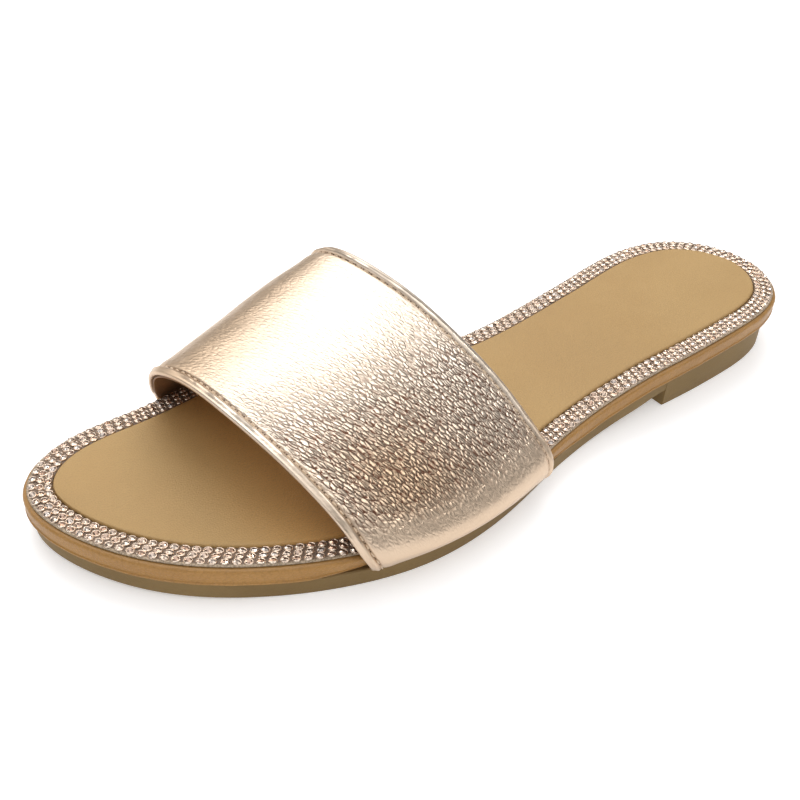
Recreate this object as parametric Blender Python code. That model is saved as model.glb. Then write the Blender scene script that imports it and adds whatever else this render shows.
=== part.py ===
"""Flat slide sandal for the left foot: one wide strap over a cushioned footbed.

Metres, +Z up. The toe points to -Y, the big-toe side (medial) lies at -X and the
little-toe side (lateral) at +X. The shoe stands empty on the floor at Z = 0.
"""
import math

import bmesh
import bpy
import numpy as np

# Sole, driving sizes
LENGTH = 0.252              # footbed, tip of the toe to back of the heel
BALL_WIDTH = 0.091          # footbed across the ball
WAIST_WIDTH = 0.0560        # footbed across the arch
HEEL_WIDTH = 0.0595         # footbed across the heel seat
OUTSOLE_THICKNESS = 0.0053
FOOTBED_THICKNESS = 0.0050
TOE_SPRING = 0.0012         # outsole off the floor at the tip
HEEL_HEIGHT = 0.0066        # block under the outsole at the heel
BREAST_FROM_TOE = 0.1805    # front face of the heel block
OUTSOLE_STEP = 0.0011       # outsole inside the footbed edge at the joint
OUTSOLE_TAPER = 0.0004      # further inside at the tread
HEEL_STEP = 0.0022          # the same step where the heel block is
HEEL_TAPER = 0.0002
TREAD_CHAMFER = 0.0004
EDGE_ROUNDING = 0.0010      # how far the wrapped footbed edge rolls in at the top
CLEARANCE = 0.0003          # between pieces that touch
END_SHARE = 0.12            # share of LENGTH at each end where inset stations close up
HEEL_SHARE = 0.06           # share of LENGTH over which the side steps in to the heel

# Trim band with three rows of stones, and the sock inside it
TRIM_FROM_EDGE = 0.0011
TRIM_WIDTH = 0.0062
TRIM_BASE = 0.0004
STONE_HEIGHT = 0.0007
STONE_ROWS = 3
SOCK_THICKNESS = 0.0010
SOCK_CROWN = 0.0007

# Strap, driving sizes
STRAP_WALL = 0.0024
STRAP_FROM_TOE = 0.0625     # front edge at the lateral side
STRAP_SPAN = 0.0592         # front to rear edge at the lateral side
STRAP_FRONT_SWEEP = 0.0220  # how far the front edge runs forward of that
STRAP_REAR_SWEEP = 0.0285   # how far the rear edge runs forward
STRAP_FRONT_HEIGHT = 0.0347 # top of the front edge over the floor
STRAP_REAR_HEIGHT = 0.0532  # top of the rear edge over the floor
STRAP_NOSE = 0.0008         # roundness of the folded edges
TUCK = 0.0040               # strap's foot drawn in over the footbed's edge at the joint
TUCK_BEND = 1.5             # how quickly that fades out up the footbed's edge

# Plan of the footbed: share of LENGTH from the toe, the width that the row
# follows, and the shares of that width on the medial and on the lateral side
PLAN = (
    (0.055, BALL_WIDTH, 0.367, 0.196),
    (0.160, BALL_WIDTH, 0.431, 0.410),
    (0.300, BALL_WIDTH, 0.470, 0.530),
    (0.440, BALL_WIDTH, 0.285, 0.485),
    (0.570, WAIST_WIDTH, 0.382, 0.618),
    (0.700, WAIST_WIDTH, 0.402, 0.591),
    (0.830, HEEL_WIDTH, 0.479, 0.521),
    (0.950, HEEL_WIDTH, 0.407, 0.377),
)
TOE_TIP = -0.176            # place of the tip across, share of BALL_WIDTH
HEEL_TIP = -0.008           # place of the back across, share of HEEL_WIDTH

# Underside of the outsole: share of LENGTH from the toe, the height that the
# row follows, and its share. The ball is flat on the floor between 0.20 and 0.54
SIDE = (
    (0.00, TOE_SPRING, 1.00),
    (0.08, TOE_SPRING, 0.80),
    (0.20, TOE_SPRING, 0.00),
    (0.38, TOE_SPRING, 0.00),
    (0.54, HEEL_HEIGHT, 0.00),
    (0.715, HEEL_HEIGHT, 0.83),
    (0.86, HEEL_HEIGHT, 1.00),
    (1.00, HEEL_HEIGHT, 1.00),
)

# Wrapped edge of the footbed, top to bottom: inset as a share of EDGE_ROUNDING,
# height over the joint as a share of FOOTBED_THICKNESS
FOOTBED_EDGE = (
    (1.00, 1.00),
    (0.30, 0.84),
    (0.00, 0.55),
    (0.25, 0.25),
    (0.90, 0.00),
)

# One row of stones across the trim: share of the row's width, share of STONE_HEIGHT
STONE_ROW = (
    (0.10, 0.35),
    (0.30, 1.00),
    (0.70, 1.00),
    (0.90, 0.35),
)

# Sock from its lateral to its medial edge: share across, share of SOCK_THICKNESS
SOCK_ACROSS = (
    (0.00, 0.55),
    (0.06, 1.00),
    (0.25, 1.00),
    (0.50, 1.00),
    (0.75, 1.00),
    (0.94, 1.00),
    (1.00, 0.55),
)
FULL_CROWN_SHARE = 0.6      # share of WAIST_WIDTH from which the crown is full

# Strap, from its lateral end over the foot to its medial end. For the front and
# the rear edge: across as a share of the sole's half width with the wall, up as
# a share of the edge's height above the joint, and forward as a share of its sweep
STRAP = (
    # front: across, up, forward     rear: across, up, forward
    ((1.000, 0.000, 0.00), (1.000, 0.000, 0.01)),
    ((1.000, 0.248, 0.15), (1.000, 0.152, 0.00)),
    ((0.915, 0.530, 0.30), (0.870, 0.310, 0.08)),
    ((0.695, 0.785, 0.48), (0.600, 0.520, 0.22)),
    ((0.400, 0.935, 0.64), (0.320, 0.715, 0.41)),
    ((0.045, 0.998, 0.77), (0.035, 0.860, 0.58)),
    ((-0.310, 0.995, 0.89), (-0.270, 0.960, 0.77)),
    ((-0.620, 0.850, 0.98), (-0.580, 1.000, 0.93)),
    ((-0.805, 0.565, 0.91), (-0.840, 0.890, 0.98)),
    ((-0.925, 0.330, 0.80), (-0.960, 0.510, 1.00)),
    ((-1.000, 0.185, 0.71), (-1.000, 0.150, 0.98)),
    ((-1.000, 0.000, 0.66), (-1.000, 0.000, 0.96)),
)

# Higher up the strap runs straighter from its front to its rear edge than the
# sole's edge does: how much straighter, and the heights above the joint between
# which it gets so
STRAIGHTER = 0.37
STRAIGHT_FROM = 0.0065
STRAIGHT_ABOVE = 0.0200

# Where the foot of the strap is drawn in: share of the foot's length from its
# front end, share of TUCK
TUCK_ALONG = (
    (-0.25, 0.00),
    (0.00, 0.61),
    (0.35, 1.00),
    (0.60, 0.92),
    (0.80, 0.62),
    (1.00, 0.42),
    (1.35, 0.00),
)

# How fine the meshes are
RUNGS = 52                  # stations along the sole
RING_POINTS = 120           # points round the trim
STRAP_AROUND = 50           # faces across the strap
STRAP_ALONG = 12            # faces along the strap
OUTLINE_POINTS = 1440       # points that the plan is worked out on
WELD = 1e-7                 # points closer than this become one
SHARP_DEGREES = 35.0        # edges above this angle are shaded sharp

# Plain finishes: colour, roughness, metallic
FINISHES = {
    "outsole": ("outsole_rubber", (0.30, 0.24, 0.13), 0.55, 0.0),
    "footbed": ("footbed_leather", (0.40, 0.27, 0.13), 0.50, 0.0),
    "sock": ("sock_leather", (0.50, 0.34, 0.18), 0.65, 0.0),
    "stone_trim": ("trim_stones", (0.55, 0.38, 0.28), 0.25, 0.3),
    "strap": ("strap_leather", (0.75, 0.53, 0.40), 0.30, 0.8),
}


def clear_scene():
    for old in list(bpy.data.objects):
        bpy.data.objects.remove(old, do_unlink=True)


def smooth_curve(points, closed):
    """Cubic spline through the points; returns a function of 0..1."""
    pts = np.array(points, float)
    if closed:
        pts = np.vstack([pts, pts[:1]])
    steps = np.sqrt(np.linalg.norm(np.diff(pts, axis=0), axis=1))
    knots = np.concatenate([[0.0], np.cumsum(steps)])
    knots /= knots[-1]
    gaps = np.diff(knots)
    count = len(pts)
    matrix = np.zeros((count, count))
    right = np.zeros_like(pts)
    for i in range(1, count - 1):
        matrix[i, i - 1] = gaps[i - 1]
        matrix[i, i] = 2.0 * (gaps[i - 1] + gaps[i])
        matrix[i, i + 1] = gaps[i]
        right[i] = 6.0 * ((pts[i + 1] - pts[i]) / gaps[i] - (pts[i] - pts[i - 1]) / gaps[i - 1])
    if closed:
        matrix[0, 0], matrix[0, -1] = 1.0, -1.0
        matrix[-1, 0], matrix[-1, 1] = 2.0 * gaps[0], gaps[0]
        matrix[-1, -2], matrix[-1, -1] = gaps[-1], 2.0 * gaps[-1]
        right[-1] = 6.0 * ((pts[1] - pts[0]) / gaps[0] - (pts[-1] - pts[-2]) / gaps[-1])
    else:
        matrix[0, 0] = 1.0
        matrix[-1, -1] = 1.0
    bend = np.linalg.solve(matrix, right)

    def at(shares):
        t = np.clip(np.asarray(shares, float), 0.0, 1.0)
        k = np.clip(np.searchsorted(knots, t, side="right") - 1, 0, count - 2)
        h = gaps[k][:, None]
        a = ((knots[k + 1] - t)[:, None]) / h
        b = 1.0 - a
        curve = (a ** 3 - a) * bend[k] + (b ** 3 - b) * bend[k + 1]
        return a * pts[k] + b * pts[k + 1] + curve * h ** 2 / 6.0

    return at


def underside(y):
    """Height of the outsole's underside at a place along the shoe."""
    share = np.clip(np.asarray(y, float) / LENGTH + 0.5, 0.0, 1.0)
    along = np.array([row[0] for row in SIDE])
    height = np.array([row[1] * row[2] for row in SIDE])
    gaps = np.diff(along)
    slopes = np.diff(height) / gaps
    tangents = np.zeros(len(along))
    for i in range(1, len(along) - 1):
        before, after = slopes[i - 1], slopes[i]
        if before * after > 0.0:
            first = 2.0 * gaps[i] + gaps[i - 1]
            second = gaps[i] + 2.0 * gaps[i - 1]
            tangents[i] = (first + second) / (first / before + second / after)
    tangents[0] = slopes[0]
    k = np.clip(np.searchsorted(along, share, side="right") - 1, 0, len(gaps) - 1)
    u = (share - along[k]) / gaps[k]
    rise = (2 * u ** 3 - 3 * u ** 2 + 1) * height[k] + (3 * u ** 2 - 2 * u ** 3) * height[k + 1]
    lean = (u ** 3 - 2 * u ** 2 + u) * tangents[k] + (u ** 3 - u ** 2) * tangents[k + 1]
    return rise + lean * gaps[k]


def joint(y):
    """Height of the joint between outsole and footbed."""
    return underside(y) + OUTSOLE_THICKNESS


def seat(y):
    """Height of the footbed's top."""
    return joint(y) + FOOTBED_THICKNESS


def plan_outline(inset):
    """Closed outline of the footbed, moved inwards; runs lateral first."""
    points = [(TOE_TIP * BALL_WIDTH, -LENGTH / 2)]
    for along, width, _, lateral in PLAN:
        points.append((lateral * width, (along - 0.5) * LENGTH))
    points.append((HEEL_TIP * HEEL_WIDTH, LENGTH / 2))
    for along, width, medial, _ in reversed(PLAN):
        points.append((-medial * width, (along - 0.5) * LENGTH))
    loop = smooth_curve(points, True)(np.linspace(0.0, 1.0, OUTLINE_POINTS, endpoint=False))
    run = np.roll(loop, -1, axis=0) - np.roll(loop, 1, axis=0)
    run /= np.linalg.norm(run, axis=1)[:, None]
    outward = np.column_stack([run[:, 1], -run[:, 0]])
    return loop - outward * inset


def half_outlines(inset):
    """Lateral and medial halves as (y, x) tables that run from toe to heel."""
    loop = plan_outline(inset)
    loop = np.roll(loop, -int(loop[:, 1].argmin()), axis=0)
    back = int(loop[:, 1].argmax())
    lateral = loop[:back + 1]
    medial = np.vstack([loop[:1], loop[back:][::-1]])
    return lateral, medial


def stations():
    """Places along the shoe, closer together at the round ends, with the
    heel's breast among them."""
    outer = plan_outline(0.0)
    low, high = outer[:, 1].min(), outer[:, 1].max()
    turn = np.linspace(0.0, math.pi, RUNGS + 1)
    places = low + (high - low) * (1.0 - np.cos(turn)) / 2.0
    breast = BREAST_FROM_TOE - LENGTH / 2
    places[int(np.abs(places - breast).argmin())] = breast
    return places


def rung_ends(inset, places):
    """Lateral and medial points of an inset outline at the stations. The
    stations of the round ends close up to fit the shorter outline."""
    lateral, medial = half_outlines(inset)
    ends = (places[0], places[-1])
    inner = (lateral[0, 1], lateral[-1, 1])
    reach = LENGTH * END_SHARE
    y = np.array(places)
    toe = y < ends[0] + reach
    heel = y > ends[1] - reach
    y[toe] = inner[0] + (y[toe] - ends[0]) * (ends[0] + reach - inner[0]) / reach
    y[heel] = inner[1] - (ends[1] - y[heel]) * (inner[1] - ends[1] + reach) / reach
    right = np.interp(y, lateral[:, 1], lateral[:, 0])
    left = np.interp(y, medial[:, 1], medial[:, 0])
    right[0] = left[0] = lateral[0, 0]
    right[-1] = left[-1] = lateral[-1, 0]
    return y, right, left


def grid_faces(shell, rows, closed_rows):
    """Quads over rows of points, each row a closed loop; returns the points."""
    grid = [[shell.verts.new(point) for point in row] for row in rows]
    count = len(grid[0])
    last = len(grid) if closed_rows else len(grid) - 1
    for k in range(last):
        this, following = grid[k], grid[(k + 1) % len(grid)]
        for i in range(count):
            j = (i + 1) % count
            shell.faces.new((this[i], this[j], following[j], following[i]))
    return grid


def new_solid(name, shell):
    """Turn a closed shell into a named object with its plain finish."""
    bmesh.ops.remove_doubles(shell, verts=shell.verts, dist=WELD)
    bmesh.ops.dissolve_degenerate(shell, edges=shell.edges, dist=WELD)
    bmesh.ops.triangulate(shell, faces=shell.faces)
    bmesh.ops.recalc_face_normals(shell, faces=shell.faces)
    if shell.calc_volume(signed=True) < 0.0:
        bmesh.ops.reverse_faces(shell, faces=shell.faces)
    mesh = bpy.data.meshes.new(name)
    shell.to_mesh(mesh)
    shell.free()
    mesh.shade_smooth()
    mesh.set_sharp_from_angle(angle=math.radians(SHARP_DEGREES))
    mesh.materials.append(new_finish(*FINISHES[name]))
    made = bpy.data.objects.new(name, mesh)
    bpy.context.collection.objects.link(made)
    return made


def new_finish(name, colour, roughness, metallic):
    made = bpy.data.materials.new(name)
    made.use_nodes = True
    shader = made.node_tree.nodes["Principled BSDF"]
    shader.inputs["Base Color"].default_value = (*colour, 1.0)
    shader.inputs["Roughness"].default_value = roughness
    shader.inputs["Metallic"].default_value = metallic
    return made


def skin(name, rows, closed_rows=False):
    """Skin rows of points, each a closed loop, into one solid."""
    shell = bmesh.new()
    grid_faces(shell, rows, closed_rows)
    return new_solid(name, shell)


def skin_wall(name, rows):
    """Skin the rows of a wall, whose far face mirrors its near one, and close
    both of its ends."""
    shell = bmesh.new()
    grid = grid_faces(shell, rows, False)
    half = len(grid[0]) // 2
    for row in (grid[0], grid[-1]):
        shell.faces.new((row[0], row[1], row[-1]))
        for i in range(1, half - 1):
            shell.faces.new((row[i], row[i + 1], row[-i - 1], row[-i]))
        shell.faces.new((row[half - 1], row[half], row[half + 1]))
    return new_solid(name, shell)


def ladder(profile, places):
    """Rows for a sole layer. The profile lists, from the middle of the top over
    the edge to the middle of the underside, an inset and a height function."""
    sides = []
    for inset, height in profile:
        y, right, left = rung_ends(inset, places)
        sides.append((y, right, left, height(y)))
    rows = []
    for k in range(len(places)):
        lateral = [(right[k], y[k], z[k]) for y, right, left, z in sides]
        medial = [(left[k], y[k], z[k]) for y, right, left, z in reversed(sides)]
        rows.append(lateral + medial)
    return rows


def make_outsole():
    """Moulded unit with its low heel block, stepped in under the footbed."""
    places = stations()
    breast = BREAST_FROM_TOE - LENGTH / 2
    at_breast = int(np.abs(places - breast).argmin())
    heel_zone = LENGTH * HEEL_SHARE

    def blend(y, fore, rear):
        share = np.clip((y - breast) / heel_zone + 1.0, 0.0, 1.0)
        return fore + (rear - fore) * share * share * (3.0 - 2.0 * share)

    def edge(inset, z_of):
        y, right, left = rung_ends(inset, places)
        return y, right, left, z_of(y)

    def lofted(fore_inset, rear_inset, z_of):
        front = edge(fore_inset, z_of)
        rear = edge(rear_inset, z_of)
        return [blend(front[0], a, b) for a, b in zip(front, rear)]

    tread = OUTSOLE_STEP + OUTSOLE_TAPER
    heel_tread = HEEL_STEP + HEEL_TAPER
    top = lofted(OUTSOLE_STEP, HEEL_STEP, lambda y: joint(y) - CLEARANCE / 2)
    sole_side = lofted(tread, heel_tread, lambda y: underside(y) + TREAD_CHAMFER)
    sole_under = lofted(tread + TREAD_CHAMFER, heel_tread + TREAD_CHAMFER, underside)
    heel_side = lofted(tread, heel_tread, lambda y: y * 0.0 + TREAD_CHAMFER)
    heel_under = lofted(tread + TREAD_CHAMFER, heel_tread + TREAD_CHAMFER, lambda y: y * 0.0)

    def row(k, layers):
        lateral = [(right[k], y[k], z[k]) for y, right, left, z in layers]
        medial = [(left[k], y[k], z[k]) for y, right, left, z in reversed(layers)]
        return lateral + medial

    rows = [row(k, (top, sole_side, sole_under)) for k in range(at_breast + 1)]
    rows += [row(k, (top, heel_side, heel_under)) for k in range(at_breast, len(places))]
    return skin("outsole", rows)


def strap_reach(row):
    """Front and rear place of the strap along the shoe, for a row of its table."""
    front, rear = row
    front_at = STRAP_FROM_TOE - LENGTH / 2
    y_front = front_at - front[2] * STRAP_FRONT_SWEEP
    y_rear = front_at + STRAP_SPAN - rear[2] * STRAP_REAR_SWEEP
    return y_front, y_rear


def drawn_in(point):
    """Move a point of the strap's foot, or of the footbed's edge in it, inwards."""
    x, y, z = point
    y_front, y_rear = strap_reach(STRAP[0] if x > 0.0 else STRAP[-1])
    places = [row[0] for row in TUCK_ALONG]
    shares = [row[1] for row in TUCK_ALONG]
    along = float(np.interp((y - y_front) / (y_rear - y_front), places, shares))
    low = 1.0 - min(max((z - float(joint(y))) / FOOTBED_THICKNESS, 0.0), 1.0)
    return x - math.copysign(TUCK * along * low ** TUCK_BEND, x), y, z


def make_footbed():
    """Insole board wrapped in thin leather, with a rolled edge."""
    profile = []
    for inset, up in FOOTBED_EDGE:
        rise = max(up * FOOTBED_THICKNESS, CLEARANCE / 2)
        profile.append((inset * EDGE_ROUNDING, lambda y, rise=rise: joint(y) + rise))
    rows = ladder(profile, stations())
    return skin("footbed", [[drawn_in(point) for point in row] for row in rows])


def make_sock():
    """Soft lining sheet that fills the trim band, slightly crowned."""
    start = TRIM_FROM_EDGE + TRIM_WIDTH + CLEARANCE
    places = stations()
    y, right, left = rung_ends(start, places)
    base = seat(y) + CLEARANCE
    rows = []
    for k in range(len(places)):
        row = []
        for across, up in SOCK_ACROSS:
            x = right[k] + (left[k] - right[k]) * across
            width = min(1.0, abs(right[k] - left[k]) / (WAIST_WIDTH * FULL_CROWN_SHARE))
            crown = SOCK_CROWN * width * math.sin(math.pi * across) ** 2
            row.append((x, y[k], base[k] + SOCK_THICKNESS * up + crown))
        row.append((left[k], y[k], base[k]))
        row.append((right[k], y[k], base[k]))
        rows.append(row)
    for end in (0, -1):
        height = rows[end][0][2]
        rows[end] = [(x, v, min(z, height)) for x, v, z in rows[end]]
    return skin("sock", rows)


def make_trim():
    """Band round the footbed with raised rows where the stones are set."""
    pitch = TRIM_WIDTH / STONE_ROWS
    section = [(0.0, 0.0), (0.0, TRIM_BASE)]
    for row in range(STONE_ROWS):
        for share, up in STONE_ROW:
            section.append(((row + share) * pitch, TRIM_BASE + STONE_HEIGHT * up))
    section += [(TRIM_WIDTH, TRIM_BASE), (TRIM_WIDTH, 0.0)]
    picks = np.arange(0, OUTLINE_POINTS, OUTLINE_POINTS // RING_POINTS)
    loops = [plan_outline(TRIM_FROM_EDGE + inset)[picks] for inset, _ in section]
    rows = []
    for k in range(len(picks)):
        row = []
        for loop, (_, up) in zip(loops, section):
            x, y = loop[k]
            row.append((x, y, float(seat(y)) + CLEARANCE + up))
        rows.append(row)
    return skin("stone_trim", rows, True)


def strap_half(row, side, along, rise):
    """Half width of the strap on one side, without its wall, at a share of the way
    from its front to its rear edge and at a height above the joint."""
    y_front, y_rear = strap_reach(row)
    places = (y_front, y_rear, y_front + (y_rear - y_front) * along)
    at_front, at_rear, on_edge = np.abs(np.interp(places, side[:, 1], side[:, 0]))
    straight = at_front + (at_rear - at_front) * along
    share = min(max((rise - STRAIGHT_FROM) / (STRAIGHT_ABOVE - STRAIGHT_FROM), 0.0), 1.0)
    return float(on_edge + (straight - on_edge) * STRAIGHTER * share * share * (3.0 - 2.0 * share))


def strap_surface():
    """Grid of outer points: from lateral to medial, front edge to rear edge."""
    lateral, medial = half_outlines(0.0)
    grow = CLEARANCE + STRAP_WALL
    around = np.linspace(0.0, 1.0, STRAP_AROUND + 1)
    sheets = []
    for along in np.linspace(0.0, 1.0, STRAP_ALONG + 1):
        height = STRAP_FRONT_HEIGHT + (STRAP_REAR_HEIGHT - STRAP_FRONT_HEIGHT) * along
        guides = []
        for front, rear in STRAP:
            across, up, _ = [a + (b - a) * along for a, b in zip(front, rear)]
            y_front, y_rear = strap_reach((front, rear))
            y = y_front + (y_rear - y_front) * along
            side = lateral if across > 0.0 else medial
            base = float(joint(y))
            rise = up * (height - base)
            half = strap_half((front, rear), side, along, rise) + grow
            guides.append((across * half, y, base + rise))
        sheets.append(smooth_curve(guides, False)(around))
    return np.array(sheets).transpose(1, 0, 2)


def make_strap():
    """One band over the foot, with a real wall and softly folded edges."""
    outer = strap_surface()
    round_foot = np.gradient(outer, axis=0)
    along_foot = np.gradient(outer, axis=1)
    normal = np.cross(along_foot, round_foot)
    normal /= np.linalg.norm(normal, axis=2)[:, :, None]
    along_foot /= np.linalg.norm(along_foot, axis=2)[:, :, None]
    normal[0, :, 2] = normal[-1, :, 2] = 0.0
    normal /= np.linalg.norm(normal, axis=2)[:, :, None]
    if normal[0, 0, 0] < 0.0:
        normal = -normal
    rows = []
    for points, normals, runs in zip(outer, normal, along_foot):
        inner = points - normals * STRAP_WALL
        front_nose = points[0] - normals[0] * STRAP_WALL / 2 - runs[0] * STRAP_NOSE
        rear_nose = points[-1] - normals[-1] * STRAP_WALL / 2 + runs[-1] * STRAP_NOSE
        row = [front_nose, *points, rear_nose, *inner[::-1]]
        rows.append([drawn_in(point) for point in row])
    return skin_wall("strap", rows)


def centre_on_origin(pieces):
    """Put the middle of the whole shoe's box over the origin, floor at zero."""
    corners = np.array([vertex.co for piece in pieces for vertex in piece.data.vertices])
    low, high = corners.min(axis=0), corners.max(axis=0)
    middle = (low + high) / 2.0
    for piece in pieces:
        for vertex in piece.data.vertices:
            vertex.co.x -= middle[0]
            vertex.co.y -= middle[1]
            vertex.co.z -= low[2]


clear_scene()
centre_on_origin([make_outsole(), make_footbed(), make_sock(), make_trim(), make_strap()])
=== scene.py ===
"""Looks of the left slide sandal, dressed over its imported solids.

Metres, +Z up, toe to -Y, big-toe side (medial) at -X, little-toe side (lateral) at
+X. The shape functions repeat the solids' own rules, so every piece that stands for
a solid keeps its form. They work in the plan's own place and are moved at the end.
"""
import math

import bmesh
import bpy
import numpy as np
from mathutils import Matrix, Vector


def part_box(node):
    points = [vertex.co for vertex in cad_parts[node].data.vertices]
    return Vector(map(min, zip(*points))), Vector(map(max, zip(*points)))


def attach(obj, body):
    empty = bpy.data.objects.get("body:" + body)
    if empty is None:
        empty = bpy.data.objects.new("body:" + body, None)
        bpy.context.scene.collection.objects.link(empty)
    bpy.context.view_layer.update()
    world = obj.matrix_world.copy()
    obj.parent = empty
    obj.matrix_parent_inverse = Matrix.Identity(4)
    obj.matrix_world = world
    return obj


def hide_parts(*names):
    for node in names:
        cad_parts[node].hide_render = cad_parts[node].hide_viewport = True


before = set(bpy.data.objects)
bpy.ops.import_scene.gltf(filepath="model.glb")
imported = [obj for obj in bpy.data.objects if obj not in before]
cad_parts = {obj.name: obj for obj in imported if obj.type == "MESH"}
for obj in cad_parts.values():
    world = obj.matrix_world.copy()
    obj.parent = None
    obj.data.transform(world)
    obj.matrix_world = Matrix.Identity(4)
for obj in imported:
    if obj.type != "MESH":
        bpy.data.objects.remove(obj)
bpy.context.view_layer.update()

# Sizes of the solids
LENGTH = 0.252
BALL_WIDTH = 0.091
WAIST_WIDTH = 0.0560
HEEL_WIDTH = 0.0595
OUTSOLE_THICKNESS = 0.0053
FOOTBED_THICKNESS = 0.0050
TOE_SPRING = 0.0012
HEEL_HEIGHT = 0.0066
BREAST_FROM_TOE = 0.1805
OUTSOLE_STEP = 0.0011
OUTSOLE_TAPER = 0.0004
HEEL_STEP = 0.0022
HEEL_TAPER = 0.0002
TREAD_CHAMFER = 0.0004
EDGE_ROUNDING = 0.0010
CLEARANCE = 0.0003
END_SHARE = 0.12            # share of LENGTH at each end where inset stations close up
HEEL_SHARE = 0.06           # share of LENGTH over which the side steps in to the heel
TRIM_FROM_EDGE = 0.0011
TRIM_WIDTH = 0.0062
TRIM_BASE = 0.0004
SOCK_THICKNESS = 0.0010
SOCK_CROWN = 0.0007
STRAP_WALL = 0.0024
STRAP_FROM_TOE = 0.0625
STRAP_SPAN = 0.0592
STRAP_FRONT_SWEEP = 0.0220
STRAP_REAR_SWEEP = 0.0285
STRAP_FRONT_HEIGHT = 0.0347
STRAP_REAR_HEIGHT = 0.0532
TUCK = 0.0040               # strap's foot drawn in over the footbed's edge at the joint
TUCK_BEND = 1.5

# Plan of the footbed: share of the length from the toe, the width that the row
# follows, and the shares of that width on the medial and on the lateral side
PLAN = (
    (0.055, BALL_WIDTH, 0.367, 0.196),
    (0.160, BALL_WIDTH, 0.431, 0.410),
    (0.300, BALL_WIDTH, 0.470, 0.530),
    (0.440, BALL_WIDTH, 0.285, 0.485),
    (0.570, WAIST_WIDTH, 0.382, 0.618),
    (0.700, WAIST_WIDTH, 0.402, 0.591),
    (0.830, HEEL_WIDTH, 0.479, 0.521),
    (0.950, HEEL_WIDTH, 0.407, 0.377),
)
TOE_TIP = -0.176
HEEL_TIP = -0.008

# Underside of the outsole: share of the length, height followed, its share
SIDE = (
    (0.00, TOE_SPRING, 1.00),
    (0.08, TOE_SPRING, 0.80),
    (0.20, TOE_SPRING, 0.00),
    (0.38, TOE_SPRING, 0.00),
    (0.54, HEEL_HEIGHT, 0.00),
    (0.715, HEEL_HEIGHT, 0.83),
    (0.86, HEEL_HEIGHT, 1.00),
    (1.00, HEEL_HEIGHT, 1.00),
)

# Strap, lateral to medial. Front edge, then rear edge: across as a share of the
# sole's half width, up as a share of the edge's height, forward as a share of sweep
STRAP = (
    ((1.000, 0.000, 0.00), (1.000, 0.000, 0.01)),
    ((1.000, 0.248, 0.15), (1.000, 0.152, 0.00)),
    ((0.915, 0.530, 0.30), (0.870, 0.310, 0.08)),
    ((0.695, 0.785, 0.48), (0.600, 0.520, 0.22)),
    ((0.400, 0.935, 0.64), (0.320, 0.715, 0.41)),
    ((0.045, 0.998, 0.77), (0.035, 0.860, 0.58)),
    ((-0.310, 0.995, 0.89), (-0.270, 0.960, 0.77)),
    ((-0.620, 0.850, 0.98), (-0.580, 1.000, 0.93)),
    ((-0.805, 0.565, 0.91), (-0.840, 0.890, 0.98)),
    ((-0.925, 0.330, 0.80), (-0.960, 0.510, 1.00)),
    ((-1.000, 0.185, 0.71), (-1.000, 0.150, 0.98)),
    ((-1.000, 0.000, 0.66), (-1.000, 0.000, 0.96)),
)

# Higher up the strap runs straighter from front to rear than the sole's edge does:
# how much straighter, and the heights above the joint between which it gets so
STRAIGHTER = 0.37
STRAIGHT_FROM = 0.0065
STRAIGHT_ABOVE = 0.0200

# Where the foot of the strap is drawn in: share of the foot's length, share of TUCK
TUCK_ALONG = (
    (-0.25, 0.00),
    (0.00, 0.61),
    (0.35, 1.00),
    (0.60, 0.92),
    (0.80, 0.62),
    (1.00, 0.42),
    (1.35, 0.00),
)

# Side of the footbed's wrapped edge: share of its thickness, how far it is pressed in
WRAP_SIDE = (
    (0.62, 0.00003),
    (0.42, 0.00010),
    (0.30, 0.00022),
    (0.21, 0.00025),
    (0.15, 0.00002),
    (0.08, 0.00004),
)
WRAP_FOLD = 0.0090          # how far the wrap is drawn out over the top and underneath
WRAP_WRINKLE = 0.00007
OUTSOLE_FOLD = 0.012        # where the outsole's top is closed, in from the edge
OUTSOLE_LIP = 0.0003        # bevel of its upper edge
SOCK_ROLL = 0.0009          # rounding of the sock's edge
TAPE_ROUND = 0.00015
TAPE_PALE = 0.0005          # pale outer edge of the tape

# Leather, lining and seams of the strap
LEATHER_THICK = 0.0015
LINING_THICK = 0.0007
LINING_INSET = -0.00015     # the lining shows as a thin line under the fold
SEAM_FRONT = 0.0020         # seam to the folded edge, front and rear
SEAM_REAR = 0.0019
STITCH_PITCH = 0.0026
STITCH_LENGTH = 0.0019
STITCH_THICK = 0.00042
THREAD_SEED = 3
EDGE_ROLL = 0.00048         # height of the folded edge over the leather
SEAM_TROUGH = 0.00046       # depth of the stitched line, and its half width
SEAM_WIDTH = 0.00034
PLUMP = 0.00016             # swelling inside the stitched line
SOFT_WAVE = 0.00014         # unevenness of the leather, broad and fine
FINE_WAVE = 0.00005
STRAP_LOW = 0.0070          # lowest part of the strap, raised a little off the joint
FOOT_ROLL = 0.0006          # how far its lower edge rolls over
FOOT_GAP = 0.0004           # joint to the lower edge

# Stones
STONE_PITCH = 0.00275       # along the trim
STONE_ROW_PITCH = 0.00193   # across the trim
STONE_RADIUS = 0.00098
STONE_STRETCH = 1.16        # longer along the trim than across
STONE_STAGGER = -0.0006     # each row set back from the row outside it
STONE_INSET = 0.0001        # rows set in from the middle of the trim
STONE_ROWS = 3
STONE_SEED = 7

# Tread under the ball and the heel
TREAD_PITCH = 0.0042
TREAD_DEPTH = 0.0005
TREAD_MARGIN = 0.0050
TREAD_BALL_END = 0.012      # place along the shoe where the ball's ribs end
TREAD_SWING = 0.0011        # how far a rib swings, and the length of one swing
TREAD_SWING_LENGTH = 0.018

FLOOR_GLOW = 0.35           # lit from below like a light table
ROOM_LIGHT = 0.12           # dim room round the softboxes

SHARP_DEGREES = 40.0        # edges sharper than this stay sharp
SEAM_TOLERANCE = 1e-7       # corners nearer than this become one

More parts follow.
